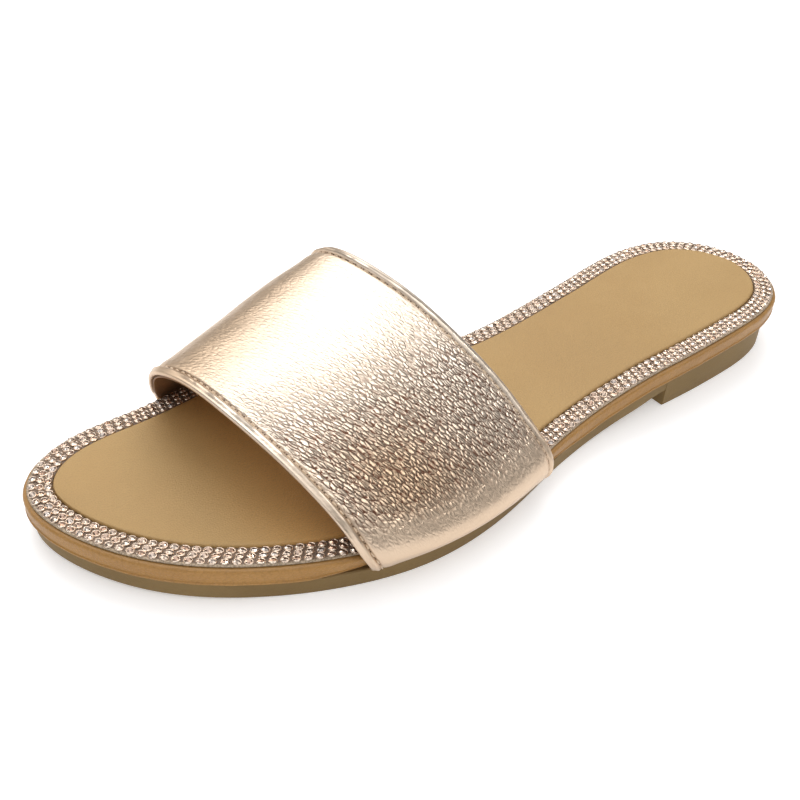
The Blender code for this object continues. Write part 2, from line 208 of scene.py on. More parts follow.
# Softboxes: name, direction that it stands in, width in degrees, power, and where
# it shows, on matt surfaces or as a gloss
SOFTBOXES = (
    ("medial_softbox", (-0.68, 0.34, 0.62), 62.0, 1.70, "matt"),
    ("medial_shine", (-0.42, 0.10, 0.86), 78.0, 0.90, "gloss"),
    ("top_shine", (-0.34, -0.12, 0.92), 64.0, 1.60, "gloss"),
    ("near_shine", (0.30, -0.65, 0.60), 36.0, 0.45, "gloss"),
    ("overhead_shine", (0.40, 0.18, 0.88), 82.0, 1.45, "gloss"),
    ("front_shine", (-0.75, -0.45, 0.42), 24.0, 0.25, "gloss"),
    ("sparkle", (0.25, 0.55, 0.80), 7.0, 0.35, "gloss"),
    ("overhead_fill", (-0.05, 0.05, 1.0), 120.0, 2.00, "matt"),
    ("side_fill", (0.62, -0.15, 0.70), 80.0, 0.45, "matt"),
)

# Camera
CAMERA_AZIMUTH = 53.43844
CAMERA_ELEVATION = 35.33182
CAMERA_ROLL = 2.53128
CAMERA_SIDE = -0.018821
CAMERA_RISE = 0.003443
CAMERA_DISTANCE = 0.3115005
CAMERA_LENS = 46.2839


def smooth_curve(points, closed):
    """Cubic spline through the points; returns a function of 0..1."""
    pts = np.array(points, float)
    if closed:
        pts = np.vstack([pts, pts[:1]])
    steps = np.sqrt(np.linalg.norm(np.diff(pts, axis=0), axis=1))
    knots = np.concatenate([[0.0], np.cumsum(steps)])
    knots /= knots[-1]
    gaps = np.diff(knots)
    count = len(pts)
    matrix = np.zeros((count, count))
    right = np.zeros_like(pts)
    for i in range(1, count - 1):
        matrix[i, i - 1] = gaps[i - 1]
        matrix[i, i] = 2.0 * (gaps[i - 1] + gaps[i])
        matrix[i, i + 1] = gaps[i]
        right[i] = 6.0 * ((pts[i + 1] - pts[i]) / gaps[i] - (pts[i] - pts[i - 1]) / gaps[i - 1])
    if closed:
        matrix[0, 0], matrix[0, -1] = 1.0, -1.0
        matrix[-1, 0], matrix[-1, 1] = 2.0 * gaps[0], gaps[0]
        matrix[-1, -2], matrix[-1, -1] = gaps[-1], 2.0 * gaps[-1]
        right[-1] = 6.0 * ((pts[1] - pts[0]) / gaps[0] - (pts[-1] - pts[-2]) / gaps[-1])
    else:
        matrix[0, 0] = 1.0
        matrix[-1, -1] = 1.0
    bend = np.linalg.solve(matrix, right)

    def at(shares):
        t = np.clip(np.asarray(shares, float), 0.0, 1.0)
        k = np.clip(np.searchsorted(knots, t, side="right") - 1, 0, count - 2)
        h = gaps[k][:, None]
        a = ((knots[k + 1] - t)[:, None]) / h
        b = 1.0 - a
        curve = (a ** 3 - a) * bend[k] + (b ** 3 - b) * bend[k + 1]
        return a * pts[k] + b * pts[k + 1] + curve * h ** 2 / 6.0

    return at


def underside(y):
    """Height of the outsole's underside at a place along the shoe."""
    share = np.clip(np.asarray(y, float) / LENGTH + 0.5, 0.0, 1.0)
    along = np.array([row[0] for row in SIDE])
    height = np.array([row[1] * row[2] for row in SIDE])
    gaps = np.diff(along)
    slopes = np.diff(height) / gaps
    tangents = np.zeros(len(along))
    for i in range(1, len(along) - 1):
        before, after = slopes[i - 1], slopes[i]
        if before * after > 0.0:
            first = 2.0 * gaps[i] + gaps[i - 1]
            second = gaps[i] + 2.0 * gaps[i - 1]
            tangents[i] = (first + second) / (first / before + second / after)
    tangents[0] = slopes[0]
    k = np.clip(np.searchsorted(along, share, side="right") - 1, 0, len(gaps) - 1)
    u = (share - along[k]) / gaps[k]
    rise = (2 * u ** 3 - 3 * u ** 2 + 1) * height[k] + (3 * u ** 2 - 2 * u ** 3) * height[k + 1]
    lean = (u ** 3 - 2 * u ** 2 + u) * tangents[k] + (u ** 3 - u ** 2) * tangents[k + 1]
    return rise + lean * gaps[k]


def joint(y):
    """Height of the joint between outsole and footbed."""
    return underside(y) + OUTSOLE_THICKNESS


def seat(y):
    """Height of the footbed's top."""
    return joint(y) + FOOTBED_THICKNESS


def smooth_step(share):
    share = np.clip(share, 0.0, 1.0)
    return share * share * (3.0 - 2.0 * share)


def eased(value, start, end):
    """Smooth step from 0 at the start to 1 at the end, which may be the lower one."""
    return smooth_step((value - start) / (end - start))


def plan_outline(inset, count=1440):
    """Closed outline of the footbed, moved inwards; runs lateral first."""
    points = [(TOE_TIP * BALL_WIDTH, -LENGTH / 2)]
    for along, width, _, lateral in PLAN:
        points.append((lateral * width, (along - 0.5) * LENGTH))
    points.append((HEEL_TIP * HEEL_WIDTH, LENGTH / 2))
    for along, width, medial, _ in reversed(PLAN):
        points.append((-medial * width, (along - 0.5) * LENGTH))
    loop = smooth_curve(points, True)(np.linspace(0.0, 1.0, count, endpoint=False))
    run = np.roll(loop, -1, axis=0) - np.roll(loop, 1, axis=0)
    run /= np.linalg.norm(run, axis=1)[:, None]
    outward = np.column_stack([run[:, 1], -run[:, 0]])
    return loop - outward * inset


def half_outlines(inset):
    """Lateral and medial halves as (x, y) rows that run from toe to heel."""
    loop = plan_outline(inset)
    loop = np.roll(loop, -int(loop[:, 1].argmin()), axis=0)
    back = int(loop[:, 1].argmax())
    lateral = loop[:back + 1]
    medial = np.vstack([loop[:1], loop[back:][::-1]])
    return lateral, medial


def stations(rungs):
    """Places along the shoe, closer together at the round ends."""
    outer = plan_outline(0.0)
    low, high = outer[:, 1].min(), outer[:, 1].max()
    turn = np.linspace(0.0, math.pi, rungs + 1)
    places = low + (high - low) * (1.0 - np.cos(turn)) / 2.0
    breast = BREAST_FROM_TOE - LENGTH / 2
    places[int(np.abs(places - breast).argmin())] = breast
    return places


def rung_ends(inset, places):
    """Lateral and medial points of an inset outline at the stations. The
    stations of the round ends close up to fit the shorter outline."""
    lateral, medial = half_outlines(inset)
    ends = (places[0], places[-1])
    inner = (lateral[0, 1], lateral[-1, 1])
    reach = LENGTH * END_SHARE
    y = np.array(places)
    toe = y < ends[0] + reach
    heel = y > ends[1] - reach
    y[toe] = inner[0] + (y[toe] - ends[0]) * (ends[0] + reach - inner[0]) / reach
    y[heel] = inner[1] - (ends[1] - y[heel]) * (inner[1] - ends[1] + reach) / reach
    right = np.interp(y, lateral[:, 1], lateral[:, 0])
    left = np.interp(y, medial[:, 1], medial[:, 0])
    right[0] = left[0] = lateral[0, 0]
    right[-1] = left[-1] = lateral[-1, 0]
    return y, right, left


def strap_reach(row):
    """Front and rear place of the strap along the shoe, for a row of its table."""
    front, rear = row
    front_at = STRAP_FROM_TOE - LENGTH / 2
    y_front = front_at - front[2] * STRAP_FRONT_SWEEP
    y_rear = front_at + STRAP_SPAN - rear[2] * STRAP_REAR_SWEEP
    return y_front, y_rear


def drawn_in(points):
    """Points of the strap's foot, and of the footbed's edge in it, moved inwards."""
    points = np.array(points, float)
    x, y, z = points[..., 0], points[..., 1], points[..., 2]
    places = [row[0] for row in TUCK_ALONG]
    shares = [row[1] for row in TUCK_ALONG]
    along = np.zeros(x.shape)
    for row, on_side in ((STRAP[0], x > 0.0), (STRAP[-1], x <= 0.0)):
        y_front, y_rear = strap_reach(row)
        along = np.where(on_side, np.interp((y - y_front) / (y_rear - y_front), places, shares), along)
    low = 1.0 - np.clip((z - joint(y)) / FOOTBED_THICKNESS, 0.0, 1.0)
    points[..., 0] = x - np.sign(x) * TUCK * along * low ** TUCK_BEND
    return points


def plan_place():
    """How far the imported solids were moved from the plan's own place."""
    low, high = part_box("footbed")
    sole_low, sole_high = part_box("outsole")
    loop, sole = plan_outline(0.0), plan_outline(OUTSOLE_STEP)
    across = (sole[:, 0].min() + sole[:, 0].max()) / 2
    along = (loop[:, 1].min() + loop[:, 1].max()) / 2
    return np.array([(sole_low.x + sole_high.x) / 2 - across, (low.y + high.y) / 2 - along, 0.0])


PLACE = plan_place()


def new_piece(name, points, faces, finish, values=None, uv=None):
    """Mesh piece in its place, with its finish, values per point and UV map."""
    mesh = bpy.data.meshes.new(name)
    mesh.from_pydata((np.asarray(points) + PLACE).tolist(), [], faces)
    for label, numbers in (values or {}).items():
        layer = mesh.attributes.new(label, "FLOAT", "POINT")
        layer.data.foreach_set("value", np.asarray(numbers, np.float32))
    if uv is not None:
        corners = np.zeros(len(mesh.loops), int)
        mesh.loops.foreach_get("vertex_index", corners)
        layer = mesh.uv_layers.new(name="surface")
        layer.data.foreach_set("uv", np.asarray(uv, np.float32)[corners].ravel())
    shell = bmesh.new()
    shell.from_mesh(mesh)
    bmesh.ops.remove_doubles(shell, verts=shell.verts, dist=SEAM_TOLERANCE)
    bmesh.ops.dissolve_degenerate(shell, edges=shell.edges, dist=SEAM_TOLERANCE)
    bmesh.ops.recalc_face_normals(shell, faces=shell.faces)
    if shell.calc_volume(signed=True) < 0.0:
        bmesh.ops.reverse_faces(shell, faces=shell.faces)
    shell.to_mesh(mesh)
    shell.free()
    mesh.shade_smooth()
    mesh.set_sharp_from_angle(angle=math.radians(SHARP_DEGREES))
    mesh.materials.append(finish)
    piece = bpy.data.objects.new(name, mesh)
    bpy.context.scene.collection.objects.link(piece)
    return piece


def skin(rows, closed_rows):
    """Points and quads over rows of closed loops."""
    rows = np.asarray(rows, float)
    count = rows.shape[1]
    faces = []
    last = len(rows) if closed_rows else len(rows) - 1
    for k in range(last):
        this, following = k * count, ((k + 1) % len(rows)) * count
        for i in range(count):
            j = (i + 1) % count
            faces.append((this + i, this + j, following + j, following + i))
    return rows.reshape(-1, 3), faces


def add_caps(faces, row_count, count):
    """Close both end loops of a wall whose far face mirrors its near face."""
    half = count // 2
    for start in (0, (row_count - 1) * count):
        faces.append((start, start + 1, start + count - 1))
        for i in range(1, half - 1):
            faces.append((start + i, start + i + 1, start + count - i - 1, start + count - i))
        faces.append((start + half - 1, start + half, start + half + 1))


# Materials

def feed(tree, socket, value):
    """Link a socket to the given one, or set it to the given value."""
    if isinstance(value, bpy.types.NodeSocket):
        tree.links.new(value, socket)
    else:
        socket.default_value = value


def add_node(tree, kind, inputs=None, **settings):
    node = tree.nodes.new(kind)
    for label, value in settings.items():
        setattr(node, label, value)
    for label, value in (inputs or {}).items():
        feed(tree, node.inputs[label], value)
    return node


def maths(tree, operation, first, second=0.0):
    return add_node(tree, "ShaderNodeMath", {0: first, 1: second}, operation=operation).outputs[0]


def plus(tree, first, second):
    return maths(tree, "ADD", first, second)


def minus(tree, first, second):
    return maths(tree, "SUBTRACT", first, second)


def times(tree, first, second):
    return maths(tree, "MULTIPLY", first, second)


def absolute(tree, value):
    return maths(tree, "ABSOLUTE", value)


def vector_maths(tree, operation, inputs):
    """Vector worked out from the inputs, or the number of a dot product."""
    node = add_node(tree, "ShaderNodeVectorMath", inputs, operation=operation)
    return node.outputs["Value" if operation == "DOT_PRODUCT" else "Vector"]


def ranged(tree, value, low, high, start=0.0, end=1.0):
    """Smooth ramp of a value from start to end between low and high."""
    node = add_node(tree, "ShaderNodeMapRange", {
        "Value": value, "From Min": low, "From Max": high, "To Min": start, "To Max": end,
    }, interpolation_type="SMOOTHSTEP")
    return node.outputs["Result"]


def mixed(tree, share, first, second):
    """Colour between two, by a share. A plain colour is its red, green and blue."""
    node = add_node(tree, "ShaderNodeMix", {0: share}, data_type="RGBA")
    for socket, colour in ((node.inputs[6], first), (node.inputs[7], second)):
        feed(tree, socket, colour if isinstance(colour, bpy.types.NodeSocket) else (*colour, 1.0))
    return node.outputs[2]


def new_group(label, inputs, outputs):
    group = bpy.data.node_groups.new(label, "ShaderNodeTree")
    for name, kind, value in inputs:
        socket = group.interface.new_socket(name, in_out="INPUT", socket_type=kind)
        if value is not None:
            socket.default_value = value
    for name, kind in outputs:
        group.interface.new_socket(name, in_out="OUTPUT", socket_type=kind)
    return group, group.nodes.new("NodeGroupInput"), group.nodes.new("NodeGroupOutput")


def make_grain_group():
    """Pebbled leather grain: flat pebbles that lean over each other like scales,
    the creases between them, and fine pores. Distances are shares of a pebble.
    Its second output is painted shade: dark lines in the creases and a dark rim
    along one side of each pebble."""
    group, given, result = new_group("leather_grain", (
        ("Place", "NodeSocketVector", None),
        ("Pebbles", "NodeSocketFloat", 800.0),
        ("Warp", "NodeSocketFloat", 0.5),
        ("Lean", "NodeSocketFloat", 0.0),
        ("Lean Way", "NodeSocketVector", (-1.0, 0.0, 0.0)),
        ("Pores", "NodeSocketFloat", 0.15),
    ), (("Height", "NodeSocketFloat"), ("Crease Shade", "NodeSocketFloat")))
    start, pebbles = given.outputs["Place"], given.outputs["Pebbles"]
    drift = add_node(group, "ShaderNodeTexNoise", {
        "Vector": start, "Scale": times(group, pebbles, 0.6), "Detail": 2.0,
    })
    centred = vector_maths(group, "SUBTRACT", {0: drift.outputs["Color"], 1: (0.5, 0.5, 0.5)})
    reach = maths(group, "DIVIDE", given.outputs["Warp"], pebbles)
    moved = vector_maths(group, "SCALE", {0: centred, "Scale": reach})
    place = vector_maths(group, "ADD", {0: start, 1: moved})
    cell = {"Vector": place, "Scale": pebbles}
    edges = add_node(group, "ShaderNodeTexVoronoi", cell, feature="DISTANCE_TO_EDGE")
    cells = add_node(group, "ShaderNodeTexVoronoi", cell, feature="F1")
    from_edge, from_middle = edges.outputs["Distance"], cells.outputs["Distance"]
    plate = ranged(group, from_edge, 0.0, 0.30)
    slump = times(group, times(group, from_middle, from_middle), 0.8)
    inside = vector_maths(group, "SUBTRACT", {0: place, 1: cells.outputs["Position"]})
    along = vector_maths(group, "DOT_PRODUCT", {0: inside, 1: given.outputs["Lean Way"]})
    share = times(group, along, pebbles)
    lean = times(group, share, given.outputs["Lean"])
    pebble = plus(group, minus(group, plate, slump), lean)
    # Painted shade: dark lines in the creases, and a dark rim along one side of each pebble.
    crease_shade = ranged(group, from_edge, 0.0, 0.10, 0.45, 0.0)
    rim = ranged(group, from_edge, 0.06, 0.27, 1.0, 0.0)
    painted_side_shade = times(group, ranged(group, share, 0.02, 0.22), rim)
    pores = add_node(group, "ShaderNodeTexNoise", {
        "Vector": start, "Scale": times(group, pebbles, 4.0), "Detail": 3.0,
    })
    fine = times(group, pores.outputs[0], given.outputs["Pores"])
    feed(group, result.inputs["Height"], plus(group, pebble, fine))
    feed(group, result.inputs["Crease Shade"], maths(group, "MAXIMUM", crease_shade, painted_side_shade))
    return group


def make_mottle_group():
    """Soft uneven tone: broad clouds and small flecks, 0..1 round the middle."""
    group, given, result = new_group("soft_mottle", (
        ("Place", "NodeSocketVector", None),
        ("Clouds", "NodeSocketFloat", 40.0),
        ("Flecks", "NodeSocketFloat", 900.0),
    ), (("Tone", "NodeSocketFloat"), ("Fleck", "NodeSocketFloat")))
    for scale, detail, low, high, mask in (
        ("Clouds", 4.0, 0.32, 0.68, "Tone"),
        ("Flecks", 2.0, 0.35, 0.65, "Fleck"),
    ):
        noise = add_node(group, "ShaderNodeTexNoise", {
            "Vector": given.outputs["Place"], "Scale": given.outputs[scale], "Detail": detail,
        })
        feed(group, result.inputs[mask], ranged(group, noise.outputs[0], low, high))
    return group


GRAIN = make_grain_group()
MOTTLE = make_mottle_group()


def new_finish(name, roughness, metallic=0.0, **sockets):
    """Material with its Principled shader; returns material, tree and shader."""
    made = bpy.data.materials.new(name)
    made.use_nodes = True
    tree = made.node_tree
    shader = tree.nodes["Principled BSDF"]
    shader.inputs["Roughness"].default_value = roughness
    shader.inputs["Metallic"].default_value = metallic
    for label, value in sockets.items():
        shader.inputs[label.replace("_", " ")].default_value = value
    return made, tree, shader


def object_place(tree):
    return add_node(tree, "ShaderNodeTexCoord").outputs["Object"]


def use_group(tree, group, inputs):
    return add_node(tree, "ShaderNodeGroup", inputs, node_tree=group)


def point_value(tree, label):
    return add_node(tree, "ShaderNodeAttribute", attribute_name=label).outputs["Fac"]


def bumped(tree, shader, height, distance, before=None):
    """Feed a height to the shader's normal; returns the normal for a further bump."""
    inputs = {"Height": height, "Distance": distance}
    if before is not None:
        inputs["Normal"] = before
    normal = add_node(tree, "ShaderNodeBump", inputs).outputs["Normal"]
    feed(tree, shader.inputs["Normal"], normal)
    return normal


def make_strap_leather():
    """Rose-gold foiled leather with a tumbled pebble grain and needle marks. Its colour
    also carries painted shade in the creases, the stitched groove and a zone low on
    the lateral side, and a painted reflection low on both sides.
    """
    gold, dull_gold = (0.780, 0.668, 0.552), (0.715, 0.604, 0.490)
    painted_reflection_gold, painted_shade_bronze = (0.625, 0.460, 0.315), (0.500, 0.360, 0.240)
    crease_shade_brown, groove_shade_brown = (0.120, 0.052, 0.030), (0.25, 0.150, 0.095)
    hole_brown = (0.10, 0.055, 0.035)
    made, tree, shader = new_finish("rose_gold_leather", 0.36, 0.90, Coat_Weight=0.04, Coat_Roughness=0.25)
    surface = add_node(tree, "ShaderNodeUVMap", uv_map="surface").outputs["UV"]
    turned = add_node(tree, "ShaderNodeMapping", {
        "Vector": surface, "Rotation": (0.0, 0.0, math.radians(-8.0)), "Scale": (1.95, 0.96, 1.0),
    }, vector_type="TEXTURE")
    grain = use_group(tree, GRAIN, {
        "Place": turned.outputs["Vector"], "Pebbles": 980.0, "Warp": 0.50, "Lean": 0.40,
        "Lean Way": (-0.42, -0.90, 0.0), "Pores": 0.10,
    })
    mottle = use_group(tree, MOTTLE, {"Place": surface, "Clouds": 45.0, "Flecks": 1500.0})
    amount = point_value(tree, "grain")
    crease_shade = times(tree, grain.outputs["Crease Shade"], amount)
    base = mixed(tree, mottle.outputs["Tone"], gold, dull_gold)
    # Painted reflection: darker, warmer gold low on both sides.
    base = mixed(tree, point_value(tree, "painted_reflection_tint"), base, painted_reflection_gold)
    # Painted shade: darker zone low on the lateral side behind the front edge.
    base = mixed(tree, point_value(tree, "painted_shade"), base, painted_shade_bronze)
    # Painted shade in the creases and along one side of each pebble, fainter where the grain is.
    crease_shaded = mixed(tree, times(tree, crease_shade, amount), base, crease_shade_brown)
    off_seam = absolute(tree, point_value(tree, "seam_off"))
    # Painted shade in the stitched groove along each seam.
    groove_shaded = mixed(tree, ranged(tree, off_seam, 0.00012, 0.00048, 0.30, 0.0), crease_shaded, groove_shade_brown)
    needle = needle_marks(tree, off_seam)
    feed(tree, shader.inputs["Base Color"], mixed(tree, times(tree, needle, 0.70), groove_shaded, hole_brown))
    rough = plus(tree, 0.33, times(tree, mottle.outputs["Fleck"], 0.08))
    feed(tree, shader.inputs["Roughness"], plus(tree, rough, times(tree, crease_shade, 0.2)))
    normal = bumped(tree, shader, times(tree, grain.outputs["Height"], amount), 0.00018)
    bumped(tree, shader, times(tree, needle, -1.0), 0.00012, before=normal)
    return made


def needle_marks(tree, off_seam):
    """Mask of the needle holes at both ends of each stitch, from the seam's values."""
    share = maths(tree, "FRACT", plus(tree, point_value(tree, "stitch_count"), 0.5))
    from_end = minus(tree, 0.5, absolute(tree, minus(tree, share, 0.5)))
    from_hole = absolute(tree, minus(tree, from_end, 0.14))
    hole = ranged(tree, from_hole, 0.04, 0.11, 1.0, 0.0)
    return times(tree, hole, ranged(tree, off_seam, 0.00008, 0.00024, 1.0, 0.0))


def make_plain_leather(name, light, dark, roughness, pebbles, depth, clouds=40.0, painted_bounce=None, **sockets):
    """Smooth dyed leather or lining: uneven tone and a fine grain. A given bounce
    colour is painted light bounced from the strap, laid where the piece is marked as lying under it."""
    made, tree, shader = new_finish(name, roughness, **sockets)
    place = object_place(tree)
    mottle = use_group(tree, MOTTLE, {"Place": place, "Clouds": clouds, "Flecks": 1300.0})
    grain = use_group(tree, GRAIN, {"Place": place, "Pebbles": pebbles, "Warp": 0.6, "Pores": 0.5})
    base = mixed(tree, mottle.outputs["Tone"], light, dark)
    if painted_bounce is not None:
        base = mixed(tree, point_value(tree, "under_strap_bounce"), base, painted_bounce)
    # Painted shade: darker in the grain's creases and along one side of each pebble.
    shade = [0.72 * value for value in dark]
    fleck = times(tree, grain.outputs["Crease Shade"], 0.35)
    feed(tree, shader.inputs["Base Color"], mixed(tree, fleck, base, shade))
    bumped(tree, shader, grain.outputs["Height"], depth)
    return made


def make_outsole_rubber():
    """Matt moulded rubber with a faint mould texture and scuffs on the tread."""
    olive, dark_olive, scuffed = (0.245, 0.160, 0.062), (0.215, 0.138, 0.052), (0.160, 0.106, 0.045)
    made, tree, shader = new_finish("olive_rubber", 0.60, Specular_IOR_Level=0.2)
    place = object_place(tree)
    mottle = use_group(tree, MOTTLE, {"Place": place, "Clouds": 30.0, "Flecks": 1800.0})
    base = mixed(tree, mottle.outputs["Tone"], olive, dark_olive)
    height = add_node(tree, "ShaderNodeSeparateXYZ", {"Vector": place}).outputs["Z"]
    scuff = times(tree, ranged(tree, height, 0.0002, 0.0006, 1.0, 0.0), mottle.outputs["Fleck"])
    feed(tree, shader.inputs["Base Color"], mixed(tree, times(tree, scuff, 0.35), base, scuffed))
    bumped(tree, shader, mottle.outputs["Fleck"], 0.00003)
    return made


def make_trim_tape():
    """Woven backing tape of the stones, pale along its outer edge."""
    pale, dull, brown = (0.46, 0.35, 0.23), (0.22, 0.155, 0.095), (0.150, 0.095, 0.060)
    made, tree, shader = new_finish("stone_tape", 0.6)
    place = object_place(tree)
    weave = add_node(tree, "ShaderNodeTexVoronoi", {"Vector": place, "Scale": 2600.0})
    mottle = use_group(tree, MOTTLE, {"Place": place, "Clouds": 120.0, "Flecks": 2200.0})
    edge = mixed(tree, mottle.outputs["Fleck"], pale, dull)
    feed(tree, shader.inputs["Base Color"], mixed(tree, point_value(tree, "outer"), brown, edge))
    bumped(tree, shader, weave.outputs["Distance"], 0.00006)
    return made


def make_setting_metal():
    """Plated cups that hold the stones."""
    made, tree, shader = new_finish("stone_setting", 0.24, 1.0)
    base = mixed(tree, point_value(tree, "shade"), (0.90, 0.76, 0.62), (0.74, 0.58, 0.46))
    feed(tree, shader.inputs["Base Color"], base)
    mottle = use_group(tree, MOTTLE, {"Place": object_place(tree), "Clouds": 300.0, "Flecks": 2400.0})
    feed(tree, shader.inputs["Roughness"], plus(tree, 0.16, times(tree, mottle.outputs["Tone"], 0.14)))
    bumped(tree, shader, mottle.outputs["Fleck"], 0.00002)
    return made


def make_stone_glass():
    """Foil-backed peach stones: each stone has its own tone, and each face a painted reflection, from dark
    brown to bright.
    """
    made, tree, shader = new_finish("peach_stone", 0.10, 0.75, Coat_Weight=1.0, Coat_Roughness=0.03)
    painted_glint = point_value(tree, "painted_glint")
    tint = add_node(tree, "ShaderNodeValToRGB", {"Fac": point_value(tree, "shade")})
    ramp = tint.color_ramp
    ramp.elements[0].position, ramp.elements[0].color = 0.0, (0.75, 0.44, 0.27, 1)
    ramp.elements[1].position, ramp.elements[1].color = 1.0, (0.95, 0.87, 0.80, 1)
    for position, colour in ((0.35, (0.84, 0.60, 0.44, 1)), (0.7, (0.95, 0.78, 0.62, 1))):
        ramp.elements.new(position).color = colour
    dark_glint_brown = (0.08, 0.038, 0.026)
    feed(tree, shader.inputs["Base Color"], mixed(tree, painted_glint, dark_glint_brown, tint.outputs["Color"]))
    feed(tree, shader.inputs["Roughness"], ranged(tree, painted_glint, 0.0, 1.0, 0.16, 0.06))
    return made


def make_thread():
    """Twisted champagne thread."""
    made, tree, shader = new_finish("champagne_thread", 0.45, Sheen_Weight=0.2)
    place = object_place(tree)
    ply = add_node(tree, "ShaderNodeTexNoise", {"Vector": place, "Scale": 3500.0, "Detail": 1.0})
    base = mixed(tree, ply.outputs[0], (0.80, 0.64, 0.46), (0.55, 0.40, 0.26))
    feed(tree, shader.inputs["Base Color"], base)
    bumped(tree, shader, ply.outputs[0], 0.00006)
    return made


# Sole pieces

def ladder(profile, places):
    """Rows for a sole layer. The profile lists, from the middle of the top over the
    edge to the middle of the underside, an inset and a height function."""
    sides = []
    for inset, height in profile:
        y, right, left = rung_ends(inset, places)
        sides.append((y, right, left, height(y)))
    rows = []
    for k in range(len(places)):
        lateral = [(right[k], y[k], z[k]) for y, right, left, z in sides]
        medial = [(left[k], y[k], z[k]) for y, right, left, z in reversed(sides)]
        rows.append(lateral + medial)
    return rows


def make_footbed(finish):
    """Insole board wrapped in thin leather: rolled top edge and a small lower lip."""
    bottom = CLEARANCE / 2
    profile = [(WRAP_FOLD, seat)]
    for angle in np.radians(np.linspace(0.0, 90.0, 6)):
        inset = EDGE_ROUNDING * (1.0 - math.sin(angle))
        drop = EDGE_ROUNDING * (1.0 - math.cos(angle))
        profile.append((inset, lambda y, drop=drop: seat(y) - drop))
    for share, inset in WRAP_SIDE:
        profile.append((inset, lambda y, share=share: joint(y) + FOOTBED_THICKNESS * share))
    profile.append((EDGE_ROUNDING * 0.35, lambda y: joint(y) + bottom * 1.4))
    profile.append((EDGE_ROUNDING * 1.2, lambda y: joint(y) + bottom))
    profile.append((WRAP_FOLD, lambda y: joint(y) + bottom))
    rows = np.array(ladder(profile, stations(260)))
    half = len(profile)
    on_side = np.zeros(2 * half)
    on_side[4:half - 3] = 1.0
    on_side += on_side[::-1].copy()
    x, y = rows[:, :, 0], rows[:, :, 1]
    wave = np.sin(y * 610.0 + 2.0 * np.sin(y * 90.0)) * np.sin(x * 480.0 + y * 170.0)
    outward = np.where(np.arange(2 * half) < half, 1.0, -1.0)
    rows[2:-2, :, 0] += (WRAP_WRINKLE * wave * on_side * outward)[2:-2]
    edge = np.r_[1:half - 1, half + 1:2 * half - 1]
    rows[:, edge] = drawn_in(rows[:, edge])
    points, faces = skin(rows, False)
    piece = new_piece("footbed_wrap", points, faces, finish)
    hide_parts("footbed")
    return piece


def make_outsole(finish):
    """Moulded unit with its heel block; fine wavy ribs under the ball and the heel."""
    places = stations(520)
    breast = BREAST_FROM_TOE - LENGTH / 2
    at_breast = int(np.abs(places - breast).argmin())
    heel_zone = LENGTH * HEEL_SHARE

    def lofted(fore_inset, rear_inset, z_of):
        y, right, left = rung_ends(fore_inset, places)
        back_y, back_right, back_left = rung_ends(rear_inset, places)
        share = smooth_step((y - breast) / heel_zone + 1.0)
        y = y + (back_y - y) * share
        return y, right + (back_right - right) * share, left + (back_left - left) * share, z_of(y)

    def ribs(x, y, right, left):
        """Depth of the tread's troughs, none near the edge or under the arch."""
        edge = np.minimum(right - x, x - left)
        ends = np.minimum(y - places[0], places[-1] - y)
        inside = eased(np.minimum(edge, ends), TREAD_MARGIN, TREAD_MARGIN + 0.0015)
        bent = y + TREAD_SWING * np.sin(x * 2.0 * math.pi / TREAD_SWING_LENGTH)
        trough = eased(np.cos(bent * 2.0 * math.pi / TREAD_PITCH), 0.15, 0.65)
        ball = eased(y, TREAD_BALL_END, TREAD_BALL_END - 0.002)
        heel = eased(y, breast + 0.004, breast + 0.006)
        return TREAD_DEPTH * inside * trough * np.maximum(ball, heel)

    fore, rear, bevel = OUTSOLE_STEP + OUTSOLE_TAPER, HEEL_STEP + HEEL_TAPER, TREAD_CHAMFER
    top = CLEARANCE / 2
    inner = lofted(OUTSOLE_FOLD, OUTSOLE_FOLD, lambda y: joint(y) - top)
    rim = lofted(OUTSOLE_STEP + OUTSOLE_LIP, HEEL_STEP + OUTSOLE_LIP, lambda y: joint(y) - top)
    lip = lofted(OUTSOLE_STEP, HEEL_STEP, lambda y: joint(y) - top - OUTSOLE_LIP)
    across = np.linspace(0.0, 1.0, 46)[1:-1]

    def layers(floor):
        mid = lofted((fore + OUTSOLE_STEP) / 2, (rear + HEEL_STEP) / 2, lambda y: (joint(y) + floor(y)) / 2)
        low = lofted(fore, rear, lambda y: floor(y) + bevel)
        turn = lofted(fore + 0.3 * bevel, rear + 0.3 * bevel, lambda y: floor(y) + 0.3 * bevel)
        under = lofted(fore + bevel, rear + bevel, floor)
        return (inner, rim, lip, mid, low, turn, under)

    def row(k, sides, floor):
        lateral = [(right[k], y[k], z[k]) for y, right, left, z in sides]
        medial = [(left[k], y[k], z[k]) for y, right, left, z in reversed(sides)]
        y, right, left, _ = sides[-1]
        x = right[k] + (left[k] - right[k]) * across
        z = floor(y[k]) + ribs(x, y[k], right[k], left[k])
        return lateral + [(a, y[k], b) for a, b in zip(x, z)] + medial

    fore_sides = layers(underside)
    rear_sides = layers(lambda y: np.asarray(y) * 0.0)
    rows = [row(k, fore_sides, underside) for k in range(at_breast + 1)]
    rows += [row(k, rear_sides, lambda y: 0.0) for k in range(at_breast, len(places))]
    points, faces = skin(rows, False)
    piece = new_piece("outsole_unit", points, faces, finish)
    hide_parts("outsole")
    return piece


